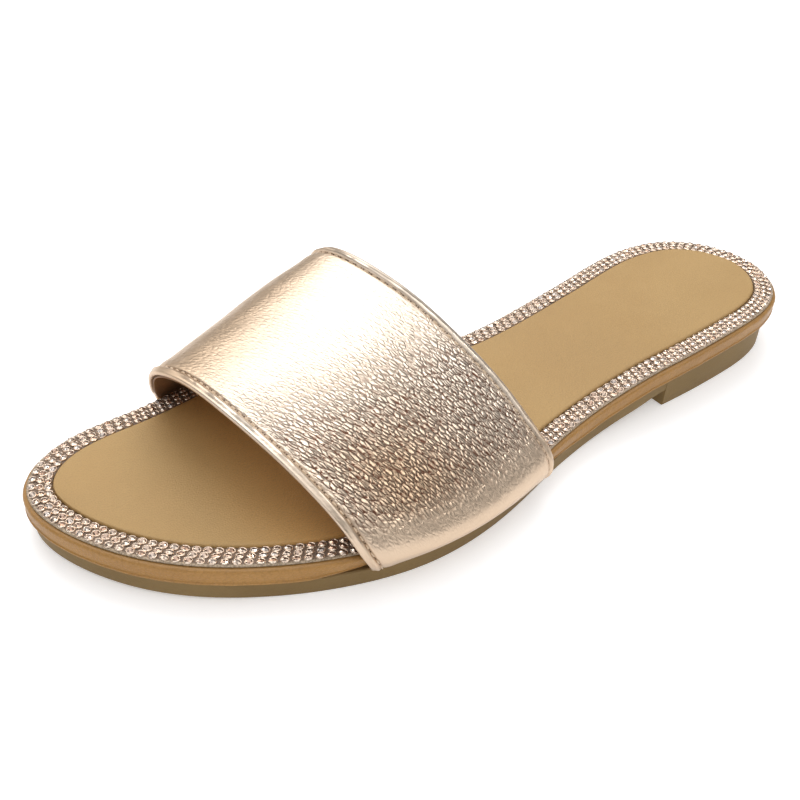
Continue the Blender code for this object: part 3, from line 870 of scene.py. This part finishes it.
def make_sock(finish):
    """Thin cushioned lining inside the trim, crowned, with soft dips for the foot."""
    start = TRIM_FROM_EDGE + TRIM_WIDTH + CLEARANCE
    places = stations(240)
    y, right, left = rung_ends(start, places)
    base = seat(y) + CLEARANCE
    edge = np.array([0.0, 0.004, 0.012, 0.025, 0.045])
    span = np.concatenate([edge, np.linspace(0.08, 0.92, 30), 1.0 - edge[::-1]])
    rows = []
    for k in range(len(places)):
        x = right[k] + (left[k] - right[k]) * span
        width = abs(right[k] - left[k])
        from_edge = np.minimum(span, 1.0 - span) * width
        flat = np.clip(from_edge / SOCK_ROLL, 0.0, 1.0)
        roll = np.sqrt(np.clip(1.0 - (1.0 - flat) ** 2, 0.0, 1.0))
        crown = SOCK_CROWN * min(1.0, width / (WAIST_WIDTH * 0.6)) * np.sin(math.pi * span) ** 2
        inner = smooth_step(from_edge / 0.012)
        ripple = 0.00007 * inner * (np.sin(x * 260.0 + y[k] * 70.0) + np.sin(y[k] * 190.0 - x * 90.0))
        z = base[k] + SOCK_THICKNESS * (0.45 + 0.55 * roll) + crown + ripple
        row = [(a, y[k], b) for a, b in zip(x, z)]
        rows.append(row + [(left[k], y[k], base[k]), (right[k], y[k], base[k])])
    for end in (0, -1):
        height = rows[end][0][2]
        rows[end] = [(x, v, min(z, height)) for x, v, z in rows[end]]
    points, faces = skin(rows, False)
    # Painted bounce light: the sock under and near the strap takes a warmer, more orange colour.
    front_at = STRAP_FROM_TOE - LENGTH / 2
    rear_at = front_at + STRAP_SPAN
    ahead = eased(points[:, 1], front_at - 0.030, front_at)
    behind = eased(points[:, 1], rear_at, rear_at - 0.020)
    piece = new_piece("sock_lining", points, faces, finish, {"under_strap_bounce": ahead * behind})
    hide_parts("sock")
    return piece


def make_trim_tape_band(finish):
    """Thin tape under the stones, all the way round. Its section lists how far in,
    how far up as a share of its height, and how pale it is."""
    section = (
        (0.0, 0.0, 1.0),
        (0.0, 0.7, 1.0),
        (TAPE_ROUND, 1.0, 1.0),
        (TAPE_PALE, 1.0, 1.0),
        (TAPE_PALE + 0.0003, 1.0, 0.0),
        (TRIM_WIDTH / 2, 1.0, 0.0),
        (TRIM_WIDTH - TAPE_ROUND, 1.0, 0.0),
        (TRIM_WIDTH, 0.7, 0.0),
        (TRIM_WIDTH, 0.0, 0.0),
    )
    loops = []
    for inset, up, _ in section:
        loop = plan_outline(TRIM_FROM_EDGE + inset, 960)
        height = seat(loop[:, 1]) + CLEARANCE + TRIM_BASE * up
        loops.append(np.column_stack([loop, height]))
    rows = np.array(loops).transpose(1, 0, 2)
    points, faces = skin(rows, True)
    outer = np.tile([pale for _, _, pale in section], len(rows))
    piece = new_piece("trim_tape", points, faces, finish, {"outer": outer})
    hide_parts("stone_trim")
    return piece


# Pieces set along a path

def new_path(name, points, ups, closed):
    """Line of points with the direction that faces up from the surface."""
    mesh = bpy.data.meshes.new(name)
    count = len(points)
    last = count if closed else count - 1
    edges = [(i, (i + 1) % count) for i in range(last)]
    mesh.from_pydata((np.asarray(points) + PLACE).tolist(), edges, [])
    layer = mesh.attributes.new("up", "FLOAT_VECTOR", "POINT")
    layer.data.foreach_set("vector", np.asarray(ups, np.float32).ravel())
    return mesh


def make_setting_tree():
    """Geometry nodes: sets a thing in even rows along a path, each turned and
    tilted a little on its own, then made real and given its finish."""
    tree = bpy.data.node_groups.new("set_along_path", "GeometryNodeTree")
    for name, kind, value in (
        ("Path", "NodeSocketGeometry", None),
        ("Thing", "NodeSocketObject", None),
        ("Finish", "NodeSocketMaterial", None),
        ("Count", "NodeSocketInt", 10),
        ("Rows", "NodeSocketInt", 1),
        ("Row Pitch", "NodeSocketFloat", 0.002),
        ("Stagger", "NodeSocketFloat", 0.0),
        ("Lift", "NodeSocketFloat", 0.0),
        ("Spin", "NodeSocketFloat", 0.0),
        ("Tilt", "NodeSocketFloat", 0.0),
        ("Size Spread", "NodeSocketFloat", 0.0),
        ("Seed", "NodeSocketInt", 0),
    ):
        socket = tree.interface.new_socket(name, in_out="INPUT", socket_type=kind)
        if value is not None:
            socket.default_value = value
    tree.interface.new_socket("Pieces", in_out="OUTPUT", socket_type="NodeSocketGeometry")
    given, result = tree.nodes.new("NodeGroupInput"), tree.nodes.new("NodeGroupOutput")
    line = add_node(tree, "GeometryNodeMeshToCurve", {"Mesh": given.outputs["Path"]})
    spots = add_node(tree, "GeometryNodeCurveToPoints", {
        "Curve": line.outputs["Curve"], "Count": given.outputs["Count"],
    }, mode="COUNT")
    run = add_node(tree, "GeometryNodeStoreNamedAttribute", {
        "Geometry": spots.outputs["Points"], "Name": "run", "Value": spots.outputs["Tangent"],
    }, data_type="FLOAT_VECTOR", domain="POINT")
    copies = add_node(tree, "GeometryNodeDuplicateElements", {
        "Geometry": run.outputs["Geometry"], "Amount": given.outputs["Rows"],
    }, domain="POINT")

    def stored(name):
        node = add_node(tree, "GeometryNodeInputNamedAttribute", {"Name": name}, data_type="FLOAT_VECTOR")
        return node.outputs["Attribute"]

    up, along = stored("up"), stored("run")
    side = vector_maths(tree, "CROSS_PRODUCT", {0: along, 1: up})
    middle = times(tree, minus(tree, given.outputs["Rows"], 1.0), 0.5)
    number = minus(tree, copies.outputs["Duplicate Index"], middle)
    shift = times(tree, number, given.outputs["Row Pitch"])
    stagger = times(tree, number, given.outputs["Stagger"])
    sideways = vector_maths(tree, "SCALE", {0: side, "Scale": shift})
    setback = vector_maths(tree, "SCALE", {0: along, "Scale": stagger})
    upwards = vector_maths(tree, "SCALE", {0: up, "Scale": given.outputs["Lift"]})
    level = vector_maths(tree, "ADD", {0: sideways, 1: setback})
    placed = add_node(tree, "GeometryNodeSetPosition", {
        "Geometry": copies.outputs["Geometry"], "Offset": vector_maths(tree, "ADD", {0: level, 1: upwards}),
    })
    upright = add_node(tree, "FunctionNodeAlignRotationToVector", {"Vector": up}, axis="Z")
    facing = add_node(tree, "FunctionNodeAlignRotationToVector", {
        "Rotation": upright.outputs["Rotation"], "Vector": along,
    }, axis="X", pivot_axis="Z")

    def spread(low, high, draw):
        """Random number between two, for each copy; the draw sets its seed apart."""
        node = add_node(tree, "FunctionNodeRandomValue", {
            "Seed": plus(tree, given.outputs["Seed"], float(draw)),
        }, data_type="FLOAT")
        ends = [socket for socket in node.inputs if socket.enabled and socket.name in ("Min", "Max")]
        for socket, value in zip(ends, (low, high)):
            feed(tree, socket, value)
        return [socket for socket in node.outputs if socket.enabled][0]

    tilt, spin = given.outputs["Tilt"], given.outputs["Spin"]
    less_tilt, less_spin = times(tree, tilt, -1.0), times(tree, spin, -1.0)
    angles = add_node(tree, "ShaderNodeCombineXYZ", {
        "X": spread(less_tilt, tilt, 1), "Y": spread(less_tilt, tilt, 2), "Z": spread(less_spin, spin, 3),
    })
    own = add_node(tree, "FunctionNodeEulerToRotation", {"Euler": angles.outputs[0]})
    turned = add_node(tree, "FunctionNodeRotateRotation", {
        "Rotation": facing.outputs["Rotation"], "Rotate By": own.outputs["Rotation"],
    }, rotation_space="LOCAL")
    less_size = minus(tree, 1.0, given.outputs["Size Spread"])
    more_size = plus(tree, 1.0, given.outputs["Size Spread"])
    thing = add_node(tree, "GeometryNodeObjectInfo", {"Object": given.outputs["Thing"], "As Instance": True})
    settled = add_node(tree, "GeometryNodeInstanceOnPoints", {
        "Points": placed.outputs["Geometry"], "Instance": thing.outputs["Geometry"],
        "Rotation": turned.outputs["Rotation"], "Scale": spread(less_size, more_size, 4),
    })
    toned = add_node(tree, "GeometryNodeStoreNamedAttribute", {
        "Geometry": settled.outputs["Instances"], "Name": "shade", "Value": spread(0.0, 1.0, 5),
    }, data_type="FLOAT", domain="INSTANCE")
    real = add_node(tree, "GeometryNodeRealizeInstances", {"Geometry": toned.outputs["Geometry"]})
    finished = add_node(tree, "GeometryNodeSetMaterial", {
        "Geometry": real.outputs["Geometry"], "Material": given.outputs["Finish"],
    })
    tree.links.new(finished.outputs["Geometry"], result.inputs["Pieces"])
    return tree


SETTING = make_setting_tree()


def set_along(name, path, thing, finish, **sizes):
    """One plain mesh piece of a thing set along a path."""
    holder = bpy.data.objects.new(name + "_path", path)
    bpy.context.scene.collection.objects.link(holder)
    modifier = holder.modifiers.new("set_along_path", "NODES")
    modifier.node_group = SETTING
    values = {"Thing": thing, "Finish": finish}
    values.update({label.replace("_", " "): value for label, value in sizes.items()})
    for item in SETTING.interface.items_tree:
        if item.item_type == "SOCKET" and item.in_out == "INPUT" and item.name in values:
            modifier[item.identifier] = values[item.name]
    holder.update_tag()
    graph = bpy.context.evaluated_depsgraph_get()
    mesh = bpy.data.meshes.new_from_object(
        holder.evaluated_get(graph), preserve_all_data_layers=True, depsgraph=graph)
    mesh.name = name
    bpy.data.objects.remove(holder)
    piece = bpy.data.objects.new(name, mesh)
    bpy.context.scene.collection.objects.link(piece)
    return piece


def small_shape(name, points, faces, facets=None):
    """Plain mesh object, to be repeated and then removed."""
    mesh = bpy.data.meshes.new(name)
    mesh.from_pydata(points, [], faces)
    # Per-face values are painted reflections of the stones.
    if facets is not None:
        layer = mesh.attributes.new("painted_glint", "FLOAT", "FACE")
        layer.data.foreach_set("value", np.array(facets, np.float32))
    shape = bpy.data.objects.new(name, mesh)
    bpy.context.scene.collection.objects.link(shape)
    return shape


def ring(radius, height, sides, turn=0.0):
    """Corners of a level ring, stretched along the trim as the stones are."""
    angles = [2.0 * math.pi * (i + turn) / sides for i in range(sides)]
    return [(radius * STONE_STRETCH * math.cos(a), radius * math.sin(a), height) for a in angles]


def cut_stone():
    """Small round-cut stone: a table, two rows of crown facets and a short wall."""
    sides, radius = 8, STONE_RADIUS * 0.84
    table, girdle, foot = 0.00072, 0.00040, 0.00008
    points = ring(radius * 0.46, table, sides)
    points += ring(radius, girdle, sides, 0.5) + ring(radius, foot, sides, 0.5)
    faces = [tuple(range(sides))]
    # Each face carries a painted reflection, from dark to bright, that shows under any lamp.
    glint_tones = [0.25]
    for i in range(sides):
        j = (i + 1) % sides
        faces.append((i, sides + i, j))
        glint_tones.append((0.95, 0.35, 0.7, 0.15, 1.0, 0.45, 0.6, 0.2)[i])
        faces.append((j, sides + i, sides + j))
        glint_tones.append((0.3, 0.8, 0.1, 1.0, 0.5, 0.2, 0.9, 0.55)[i])
        faces.append((sides + i, 2 * sides + i, 2 * sides + j, sides + j))
        glint_tones.append(0.3)
    faces.append(tuple(reversed(range(2 * sides, 3 * sides))))
    glint_tones.append(0.3)
    return small_shape("cut_stone", points, faces, glint_tones)


def stone_cup():
    """Pressed cup with a rounded rim round the stone. Its profile lists shares of
    the radius and heights, from the outside over the rim to the inside."""
    sides = 10
    profile = ((1.06, 0.0), (1.08, 0.00012), (0.94, 0.00046), (0.87, 0.00046), (0.80, 0.00020))
    points = []
    for share, height in profile:
        points += ring(STONE_RADIUS * share, height, sides)
    faces = []
    for k in range(len(profile)):
        following = (k + 1) % len(profile)
        for i in range(sides):
            j = (i + 1) % sides
            faces.append((k * sides + i, k * sides + j, following * sides + j, following * sides + i))
    return small_shape("stone_cup", points, faces)


def thread_stitch():
    """One short stitch that dips into the leather at both ends."""
    sides, rings = 6, 7
    points = []
    for k in range(rings):
        share = k / (rings - 1)
        x = (share - 0.5) * STITCH_LENGTH
        thick = STITCH_THICK * 0.5 * (0.55 + 0.45 * math.sin(math.pi * share))
        lift = STITCH_THICK * (0.75 * math.sin(math.pi * share) - 0.55)
        for i in range(sides):
            turn = 2.0 * math.pi * i / sides
            points.append((x, thick * 1.15 * math.cos(turn), lift + thick * math.sin(turn)))
    faces = [tuple(reversed(range(sides))), tuple(range((rings - 1) * sides, rings * sides))]
    for k in range(rings - 1):
        for i in range(sides):
            j = (i + 1) % sides
            faces.append((k * sides + i, k * sides + j, (k + 1) * sides + j, (k + 1) * sides + i))
    return small_shape("thread_stitch", points, faces)


def outward_faces(piece):
    shell = bmesh.new()
    shell.from_mesh(piece.data)
    bmesh.ops.recalc_face_normals(shell, faces=shell.faces)
    shell.to_mesh(piece.data)
    shell.free()


def make_stones(stone_finish, cup_finish):
    """Three even rows of stones in their cups, side by side round the footbed."""
    middle = TRIM_FROM_EDGE + TRIM_WIDTH / 2 + STONE_INSET
    loop = plan_outline(middle)
    height = seat(loop[:, 1]) + CLEARANCE + TRIM_BASE
    slope = (seat(loop[:, 1] + 0.0005) - seat(loop[:, 1] - 0.0005)) / 0.001
    ups = np.column_stack([slope * 0.0, -slope, slope * 0.0 + 1.0])
    ups /= np.linalg.norm(ups, axis=1)[:, None]
    points = np.column_stack([loop, height])
    length = np.linalg.norm(points - np.roll(points, 1, axis=0), axis=1).sum()
    count = int(round(length / STONE_PITCH))
    made = []
    for name, shape, finish in (
        ("stone_cups", stone_cup(), cup_finish), ("stones", cut_stone(), stone_finish),
    ):
        outward_faces(shape)
        path = new_path(name + "_line", points, ups, True)
        piece = set_along(
            name, path, shape, finish, Count=count, Rows=STONE_ROWS, Row_Pitch=STONE_ROW_PITCH,
            Stagger=STONE_STAGGER, Lift=-0.00003, Spin=0.14, Tilt=0.17, Size_Spread=0.03, Seed=STONE_SEED)
        bpy.data.objects.remove(shape)
        made.append(piece)
    made[0].data.shade_smooth()
    return made


# Strap

def strap_half(row, side, along, rise):
    """Half width of the strap on one side, without its wall, at a share of the way
    from its front to its rear edge and at a height above the joint."""
    y_front, y_rear = strap_reach(row)
    places = (y_front, y_rear, y_front + (y_rear - y_front) * along)
    at_front, at_rear, on_edge = np.abs(np.interp(places, side[:, 1], side[:, 0]))
    straight = at_front + (at_rear - at_front) * along
    share = eased(rise, STRAIGHT_FROM, STRAIGHT_ABOVE)
    return float(on_edge + (straight - on_edge) * STRAIGHTER * share)


def strap_sheets(around, along):
    """Points on the strap's outside, lateral to medial and front to rear."""
    lateral, medial = half_outlines(0.0)
    grow = CLEARANCE + STRAP_WALL
    shares = np.linspace(0.0, 1.0, around + 1)
    sheets = []
    for share in np.linspace(0.0, 1.0, along + 1):
        height = STRAP_FRONT_HEIGHT + (STRAP_REAR_HEIGHT - STRAP_FRONT_HEIGHT) * share
        guides = []
        for front, rear in STRAP:
            across, up, _ = [a + (b - a) * share for a, b in zip(front, rear)]
            y_front, y_rear = strap_reach((front, rear))
            y = y_front + (y_rear - y_front) * share
            side = lateral if across > 0.0 else medial
            base = float(joint(y))
            rise = up * (height - base)
            half = strap_half((front, rear), side, share, rise) + grow
            guides.append((across * half, y, base + rise))
        sheets.append(smooth_curve(guides, False)(shares))
    return np.array(sheets).transpose(1, 0, 2)


def running_length(points, axis):
    """Distance run along one way of a grid, from its first row."""
    steps = np.linalg.norm(np.diff(points, axis=axis), axis=2)
    first = np.zeros_like(np.take(steps, [0], axis=axis))
    return np.cumsum(np.concatenate([first, steps], axis=axis), axis=axis)


class StrapForm:
    """The strap's outer surface, sampled at set distances from its two edges."""

    def __init__(self, around, near_front, near_rear, middle, inset=0.0):
        grid = strap_sheets(around, 60)
        height = grid[:, :, 2] - joint(grid[:, :, 1])
        low = height < STRAP_LOW
        lift = FOOT_ROLL + FOOT_GAP
        lifted = lift + height * (1.0 - lift / STRAP_LOW)
        grid[:, :, 2] = np.where(low, joint(grid[:, :, 1]) + lifted, grid[:, :, 2])
        run = running_length(grid, 1)
        span = run[:, -1]
        points, off = [], []
        for k in range(around + 1):
            start, end = inset + near_front[-1], span[k] - inset - near_rear[-1]
            inner = np.linspace(start, end, middle + 1)[1:-1]
            s = np.concatenate([inset + near_front, inner, span[k] - inset - near_rear[::-1]])
            points.append(np.column_stack([np.interp(s, run[k], grid[k, :, i]) for i in range(3)]))
            off.append(s)
        self.points = np.array(points)
        self.off = np.array(off)
        self.span = span
        self.around = running_length(self.points, 0)
        tangent = np.gradient(self.points, axis=1)
        normal = np.cross(tangent, np.gradient(self.points, axis=0))
        normal /= np.linalg.norm(normal, axis=2)[:, :, None]
        if normal[0, 0, 0] < 0.0:
            normal = -normal
        normal[0, :, 2] = normal[-1, :, 2] = 0.0
        self.normal = normal / np.linalg.norm(normal, axis=2)[:, :, None]
        self.tangent = tangent / np.linalg.norm(tangent, axis=2)[:, :, None]

    def from_edge(self):
        return np.minimum(self.off, self.span[:, None] - self.off)

    def seam_place(self):
        """Distance of the nearer seam from its edge."""
        return np.where(self.off < self.span[:, None] / 2, SEAM_FRONT, SEAM_REAR)

    def stitch_numbers(self):
        """Stitch number at each point, counted along the nearer seam."""
        total = self.around[-1]
        counts = np.full(len(total), float(seam_count(total[seam_column(1)])))
        counts[:len(total) // 2] = seam_count(total[seam_column(0)])
        return self.around / total * counts


def near_edge(seam):
    """Distances from a folded edge, close together at its seam."""
    roll = np.linspace(0.0, seam - 0.0005, 6)
    groove = seam + np.array([-0.00032, -0.00016, 0.0, 0.00016, 0.00032, 0.0006])
    return np.concatenate([roll, groove, seam + np.array([0.0011, 0.0018, 0.0027, 0.0040])])


NEAR_FRONT = near_edge(SEAM_FRONT)
NEAR_REAR = near_edge(SEAM_REAR)


def seam_column(rear):
    """Index of the seam's column, counted from the front or from the rear."""
    if rear:
        return -1 - int(np.abs(NEAR_REAR - SEAM_REAR).argmin())
    return int(np.abs(NEAR_FRONT - SEAM_FRONT).argmin())


def seam_count(length):
    return max(1, int(round(length / STITCH_PITCH)))


def leather_relief(form):
    """Raised edge roll, stitched trough, and the leather's soft unevenness."""
    edge, seam = form.from_edge(), form.seam_place()
    a, s = form.around, form.off
    dents = 1.0 + 0.14 * np.sin(a * 420.0 + 2.0 * np.sin(a * 90.0)) + 0.10 * np.sin(a * 1150.0)
    roll = EDGE_ROLL * np.exp(-((edge / seam - 0.46) / 0.30) ** 2) * dents
    pull = 1.0 + 0.22 * np.cos(2.0 * math.pi * form.stitch_numbers())
    trough = -SEAM_TROUGH * np.exp(-((edge - seam) / SEAM_WIDTH) ** 2) * pull
    plump = PLUMP * np.exp(-((edge - seam - 0.0022) / 0.0016) ** 2)
    broad = np.sin(a * 105.0 + s * 60.0) * np.sin(s * 130.0 - a * 30.0) + 0.6 * np.sin(a * 190.0 - s * 85.0)
    fine = np.sin(a * 430.0 + 1.5 * np.sin(s * 160.0)) * np.sin(s * 340.0 + a * 120.0)
    inside = eased(edge, 0.004, 0.012) * eased(np.minimum(a, a[-1] - a), 0.0, 0.012)
    return roll + trough + plump + (SOFT_WAVE * broad + FINE_WAVE * fine) * inside


def grain_amount(form):
    """Deepest over the lateral side, fainter over the top; smooth on the edge roll,
    where the leather is pulled tight, and at the two ends."""
    around = form.around
    ends = eased(around, 0.005, 0.019) * eased(around[-1] - around, 0.014, 0.038)
    over_top = 1.0 - 0.74 * eased(around, 0.040, 0.072)
    roll = 0.10 + 0.90 * eased(form.from_edge() - form.seam_place(), 0.0001, 0.0013)
    return (0.05 + 0.95 * ends) * over_top * roll


def painted_reflection_tint(form):
    """Painted reflection: a darker, warmer gold low on both sides, standing in for what the foil reflects as
    it turns down.
    """
    lateral = eased(form.around, 0.030, 0.004)
    medial = eased(form.around[-1] - form.around, 0.068, 0.042)
    return np.maximum(0.8 * lateral, medial)


def painted_shade_zone(form):
    """Painted shade: a darker zone low on the lateral side behind the front edge, gone at the foot."""
    across = eased(form.off, 0.058, 0.020) * (0.25 + 0.75 * eased(form.off, 0.0, 0.018))
    return across * eased(form.around, 0.008, 0.020) * eased(form.around, 0.052, 0.026)


def fold_columns(thick):
    """Places before the edge, and shares of the half thickness, of a folded edge."""
    angles = np.radians((0.0, 25.0, 50.0, 72.0))
    return -np.cos(angles) * thick / 2, np.sin(angles)


def make_wall(name, form, depth, thick, finish, relief=None, roll=False, values=None):
    """Solid sheet that follows the strap at a depth, with rounded front and rear
    edges; with roll, its two lower ends turn in towards the sole."""
    before, shares = fold_columns(thick)
    lead = len(before)

    def widened(table):
        first, last = np.repeat(table[:, :1], lead, 1), np.repeat(table[:, -1:], lead, 1)
        return np.concatenate([first, table, last], 1)

    points, normals, tangents = widened(form.points), widened(form.normal), widened(form.tangent)
    points[:, :lead] += tangents[:, :lead] * before[None, :, None]
    points[:, -lead:] -= tangents[:, -lead:] * before[::-1][None, :, None]
    half = np.concatenate([shares, np.ones(form.points.shape[1]), shares[::-1]])
    raised = widened(relief) * half[None, :] if relief is not None else np.zeros(points.shape[:2])
    rows, sources = [], []

    def add_row(k, drop, share):
        far = points[k] - normals[k] * (depth + thick)
        middle = far + normals[k] * (thick / 2 * share)
        middle[:, 2] -= drop
        out = middle + normals[k] * (half * thick / 2 * share + raised[k] * share)[:, None]
        back = middle - normals[k] * (half * thick / 2 * share)[:, None]
        rows.append(np.vstack([out, back[-2:0:-1]]))
        columns = np.arange(len(half))
        sources.append((k, np.concatenate([columns, columns[-2:0:-1]])))

    angles = np.radians((88.0, 70.0, 50.0, 30.0, 14.0)) if roll else ()
    for angle in angles:
        add_row(0, FOOT_ROLL * math.sin(angle), math.cos(angle))
    for k in range(len(points)):
        add_row(k, 0.0, 1.0)
    for angle in reversed(angles):
        add_row(len(points) - 1, FOOT_ROLL * math.sin(angle), math.cos(angle))
    shell, faces = skin(drawn_in(rows), False)
    add_caps(faces, len(rows), len(rows[0]))

    def spread(table):
        wide = widened(table)
        return np.concatenate([wide[k][columns] for k, columns in sources])

    uv = np.column_stack([spread(form.around), spread(form.off)])
    layers = {label: spread(table) for label, table in (values or {}).items()}
    return new_piece(name, shell, faces, finish, layers, uv)


def make_strap(leather, lining, thread):
    """Folded outer leather over a tan lining, stitched along both edges."""
    form = StrapForm(210, NEAR_FRONT, NEAR_REAR, 40)
    relief = leather_relief(form)
    outer = make_wall("strap_leather", form, 0.0, LEATHER_THICK, leather, relief, True, {
        "grain": grain_amount(form),
        "painted_reflection_tint": painted_reflection_tint(form),
        "painted_shade": painted_shade_zone(form),
        "seam_off": form.from_edge() - form.seam_place(),
        "stitch_count": form.stitch_numbers(),
    })
    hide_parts("strap")
    near = np.array([0.0, 0.0008, 0.0020])
    inner_form = StrapForm(130, near, near, 24, LINING_INSET)
    inner = make_wall("strap_lining", inner_form, STRAP_WALL - LINING_THICK, LINING_THICK, lining)
    shape = thread_stitch()
    outward_faces(shape)
    seams = []
    for name, rear in (("front_stitches", 0), ("rear_stitches", 1)):
        column = seam_column(rear)
        line = form.points[:, column] + form.normal[:, column] * relief[:, column][:, None]
        count = seam_count(form.around[-1, column])
        path = new_path(name + "_line", drawn_in(line), form.normal[:, column], False)
        seam = set_along(name, path, shape, thread, Count=count + 1, Lift=0.00012, Spin=0.10,
                         Seed=THREAD_SEED + rear)
        seam.data.shade_smooth()
        seams.append(seam)
    bpy.data.objects.remove(shape)
    return [outer, inner, *seams]


# Stage

def make_floor():
    mesh = bpy.data.meshes.new("floor")
    mesh.from_pydata([(-4, -4, 0), (4, -4, 0), (4, 4, 0), (-4, 4, 0)], [], [(0, 1, 2, 3)])
    pale = new_finish("pale_floor", 0.6, Specular_IOR_Level=0.2, Base_Color=(0.90, 0.90, 0.91, 1),
                      Emission_Color=(1.0, 1.0, 1.0, 1), Emission_Strength=FLOOR_GLOW)[0]
    mesh.materials.append(pale)
    floor = bpy.data.objects.new("floor", mesh)
    bpy.context.scene.collection.objects.link(floor)


def make_light(name, towards, width, power, shows):
    """Large far softbox that stands in a direction, so wide in degrees. It lights
    only matt surfaces, or shows only as a gloss."""
    lamp = bpy.data.lights.new(name, "SUN")
    lamp.angle = math.radians(width)
    lamp.energy = power
    light = bpy.data.objects.new(name, lamp)
    light.location = Vector(towards)
    light.visible_glossy = shows == "gloss"
    light.visible_diffuse = shows == "matt"
    light.rotation_euler = Vector(towards).to_track_quat("Z", "Y").to_euler()
    bpy.context.scene.collection.objects.link(light)


def make_world():
    """Dim soft room for the light, plain white behind the object."""
    world = bpy.data.worlds.new("studio")
    world.use_nodes = True
    tree = world.node_tree
    tree.nodes.clear()
    room = add_node(tree, "ShaderNodeBackground", {"Color": (0.95, 0.97, 1.0, 1), "Strength": ROOM_LIGHT})
    white = add_node(tree, "ShaderNodeBackground", {"Color": (1.0, 1.0, 1.0, 1), "Strength": 1.0})
    path = add_node(tree, "ShaderNodeLightPath")
    both = add_node(tree, "ShaderNodeMixShader", {0: path.outputs["Is Camera Ray"]})
    tree.links.new(room.outputs[0], both.inputs[1])
    tree.links.new(white.outputs[0], both.inputs[2])
    out = add_node(tree, "ShaderNodeOutputWorld")
    tree.links.new(both.outputs[0], out.inputs["Surface"])
    bpy.context.scene.world = world


def make_camera():
    a, e, r = [math.radians(v) for v in (CAMERA_AZIMUTH, CAMERA_ELEVATION, CAMERA_ROLL)]
    back = np.array([math.sin(a) * math.cos(e), -math.cos(a) * math.cos(e), math.sin(e)])
    right = np.array([math.cos(a), math.sin(a), 0.0])
    up = np.cross(back, right)
    right, up = math.cos(r) * right + math.sin(r) * up, -math.sin(r) * right + math.cos(r) * up
    place = back * CAMERA_DISTANCE + right * CAMERA_SIDE + up * CAMERA_RISE + PLACE
    data = bpy.data.cameras.new("camera")
    data.sensor_width = 36.0
    data.lens = CAMERA_LENS
    data.clip_start = 0.01
    camera = bpy.data.objects.new("camera", data)
    camera.matrix_world = Matrix([[right[i], up[i], back[i], place[i]] for i in range(3)] + [[0, 0, 0, 1]])
    bpy.context.scene.collection.objects.link(camera)
    bpy.context.scene.camera = camera


make_camera()
make_world()
make_floor()
for softbox in SOFTBOXES:
    make_light(*softbox)
bpy.context.scene.view_settings.view_transform = "Standard"

wrap = make_plain_leather(
    "wrapped_edge_leather", light=(0.43, 0.225, 0.062), dark=(0.37, 0.188, 0.050),
    roughness=0.42, pebbles=1100.0, depth=0.00004, Specular_IOR_Level=0.30)
# The sock's bounce colour is painted light, warm from the strap above it.
sock_leather = make_plain_leather(
    "sock_tan_leather", light=(0.475, 0.300, 0.118), dark=(0.445, 0.274, 0.104), painted_bounce=(0.66, 0.345, 0.105),
    roughness=0.62, pebbles=1700.0, depth=0.00003, clouds=26.0, Specular_IOR_Level=0.25)
lining = make_plain_leather(
    "tan_lining", light=(0.30, 0.160, 0.075), dark=(0.24, 0.125, 0.058),
    roughness=0.6, pebbles=1500.0, depth=0.00003)
pieces = [
    make_footbed(wrap),
    make_outsole(make_outsole_rubber()),
    make_sock(sock_leather),
    make_trim_tape_band(make_trim_tape()),
    *make_stones(make_stone_glass(), make_setting_metal()),
    *make_strap(make_strap_leather(), lining, make_thread()),
]
for piece in pieces:
    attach(piece, "root")
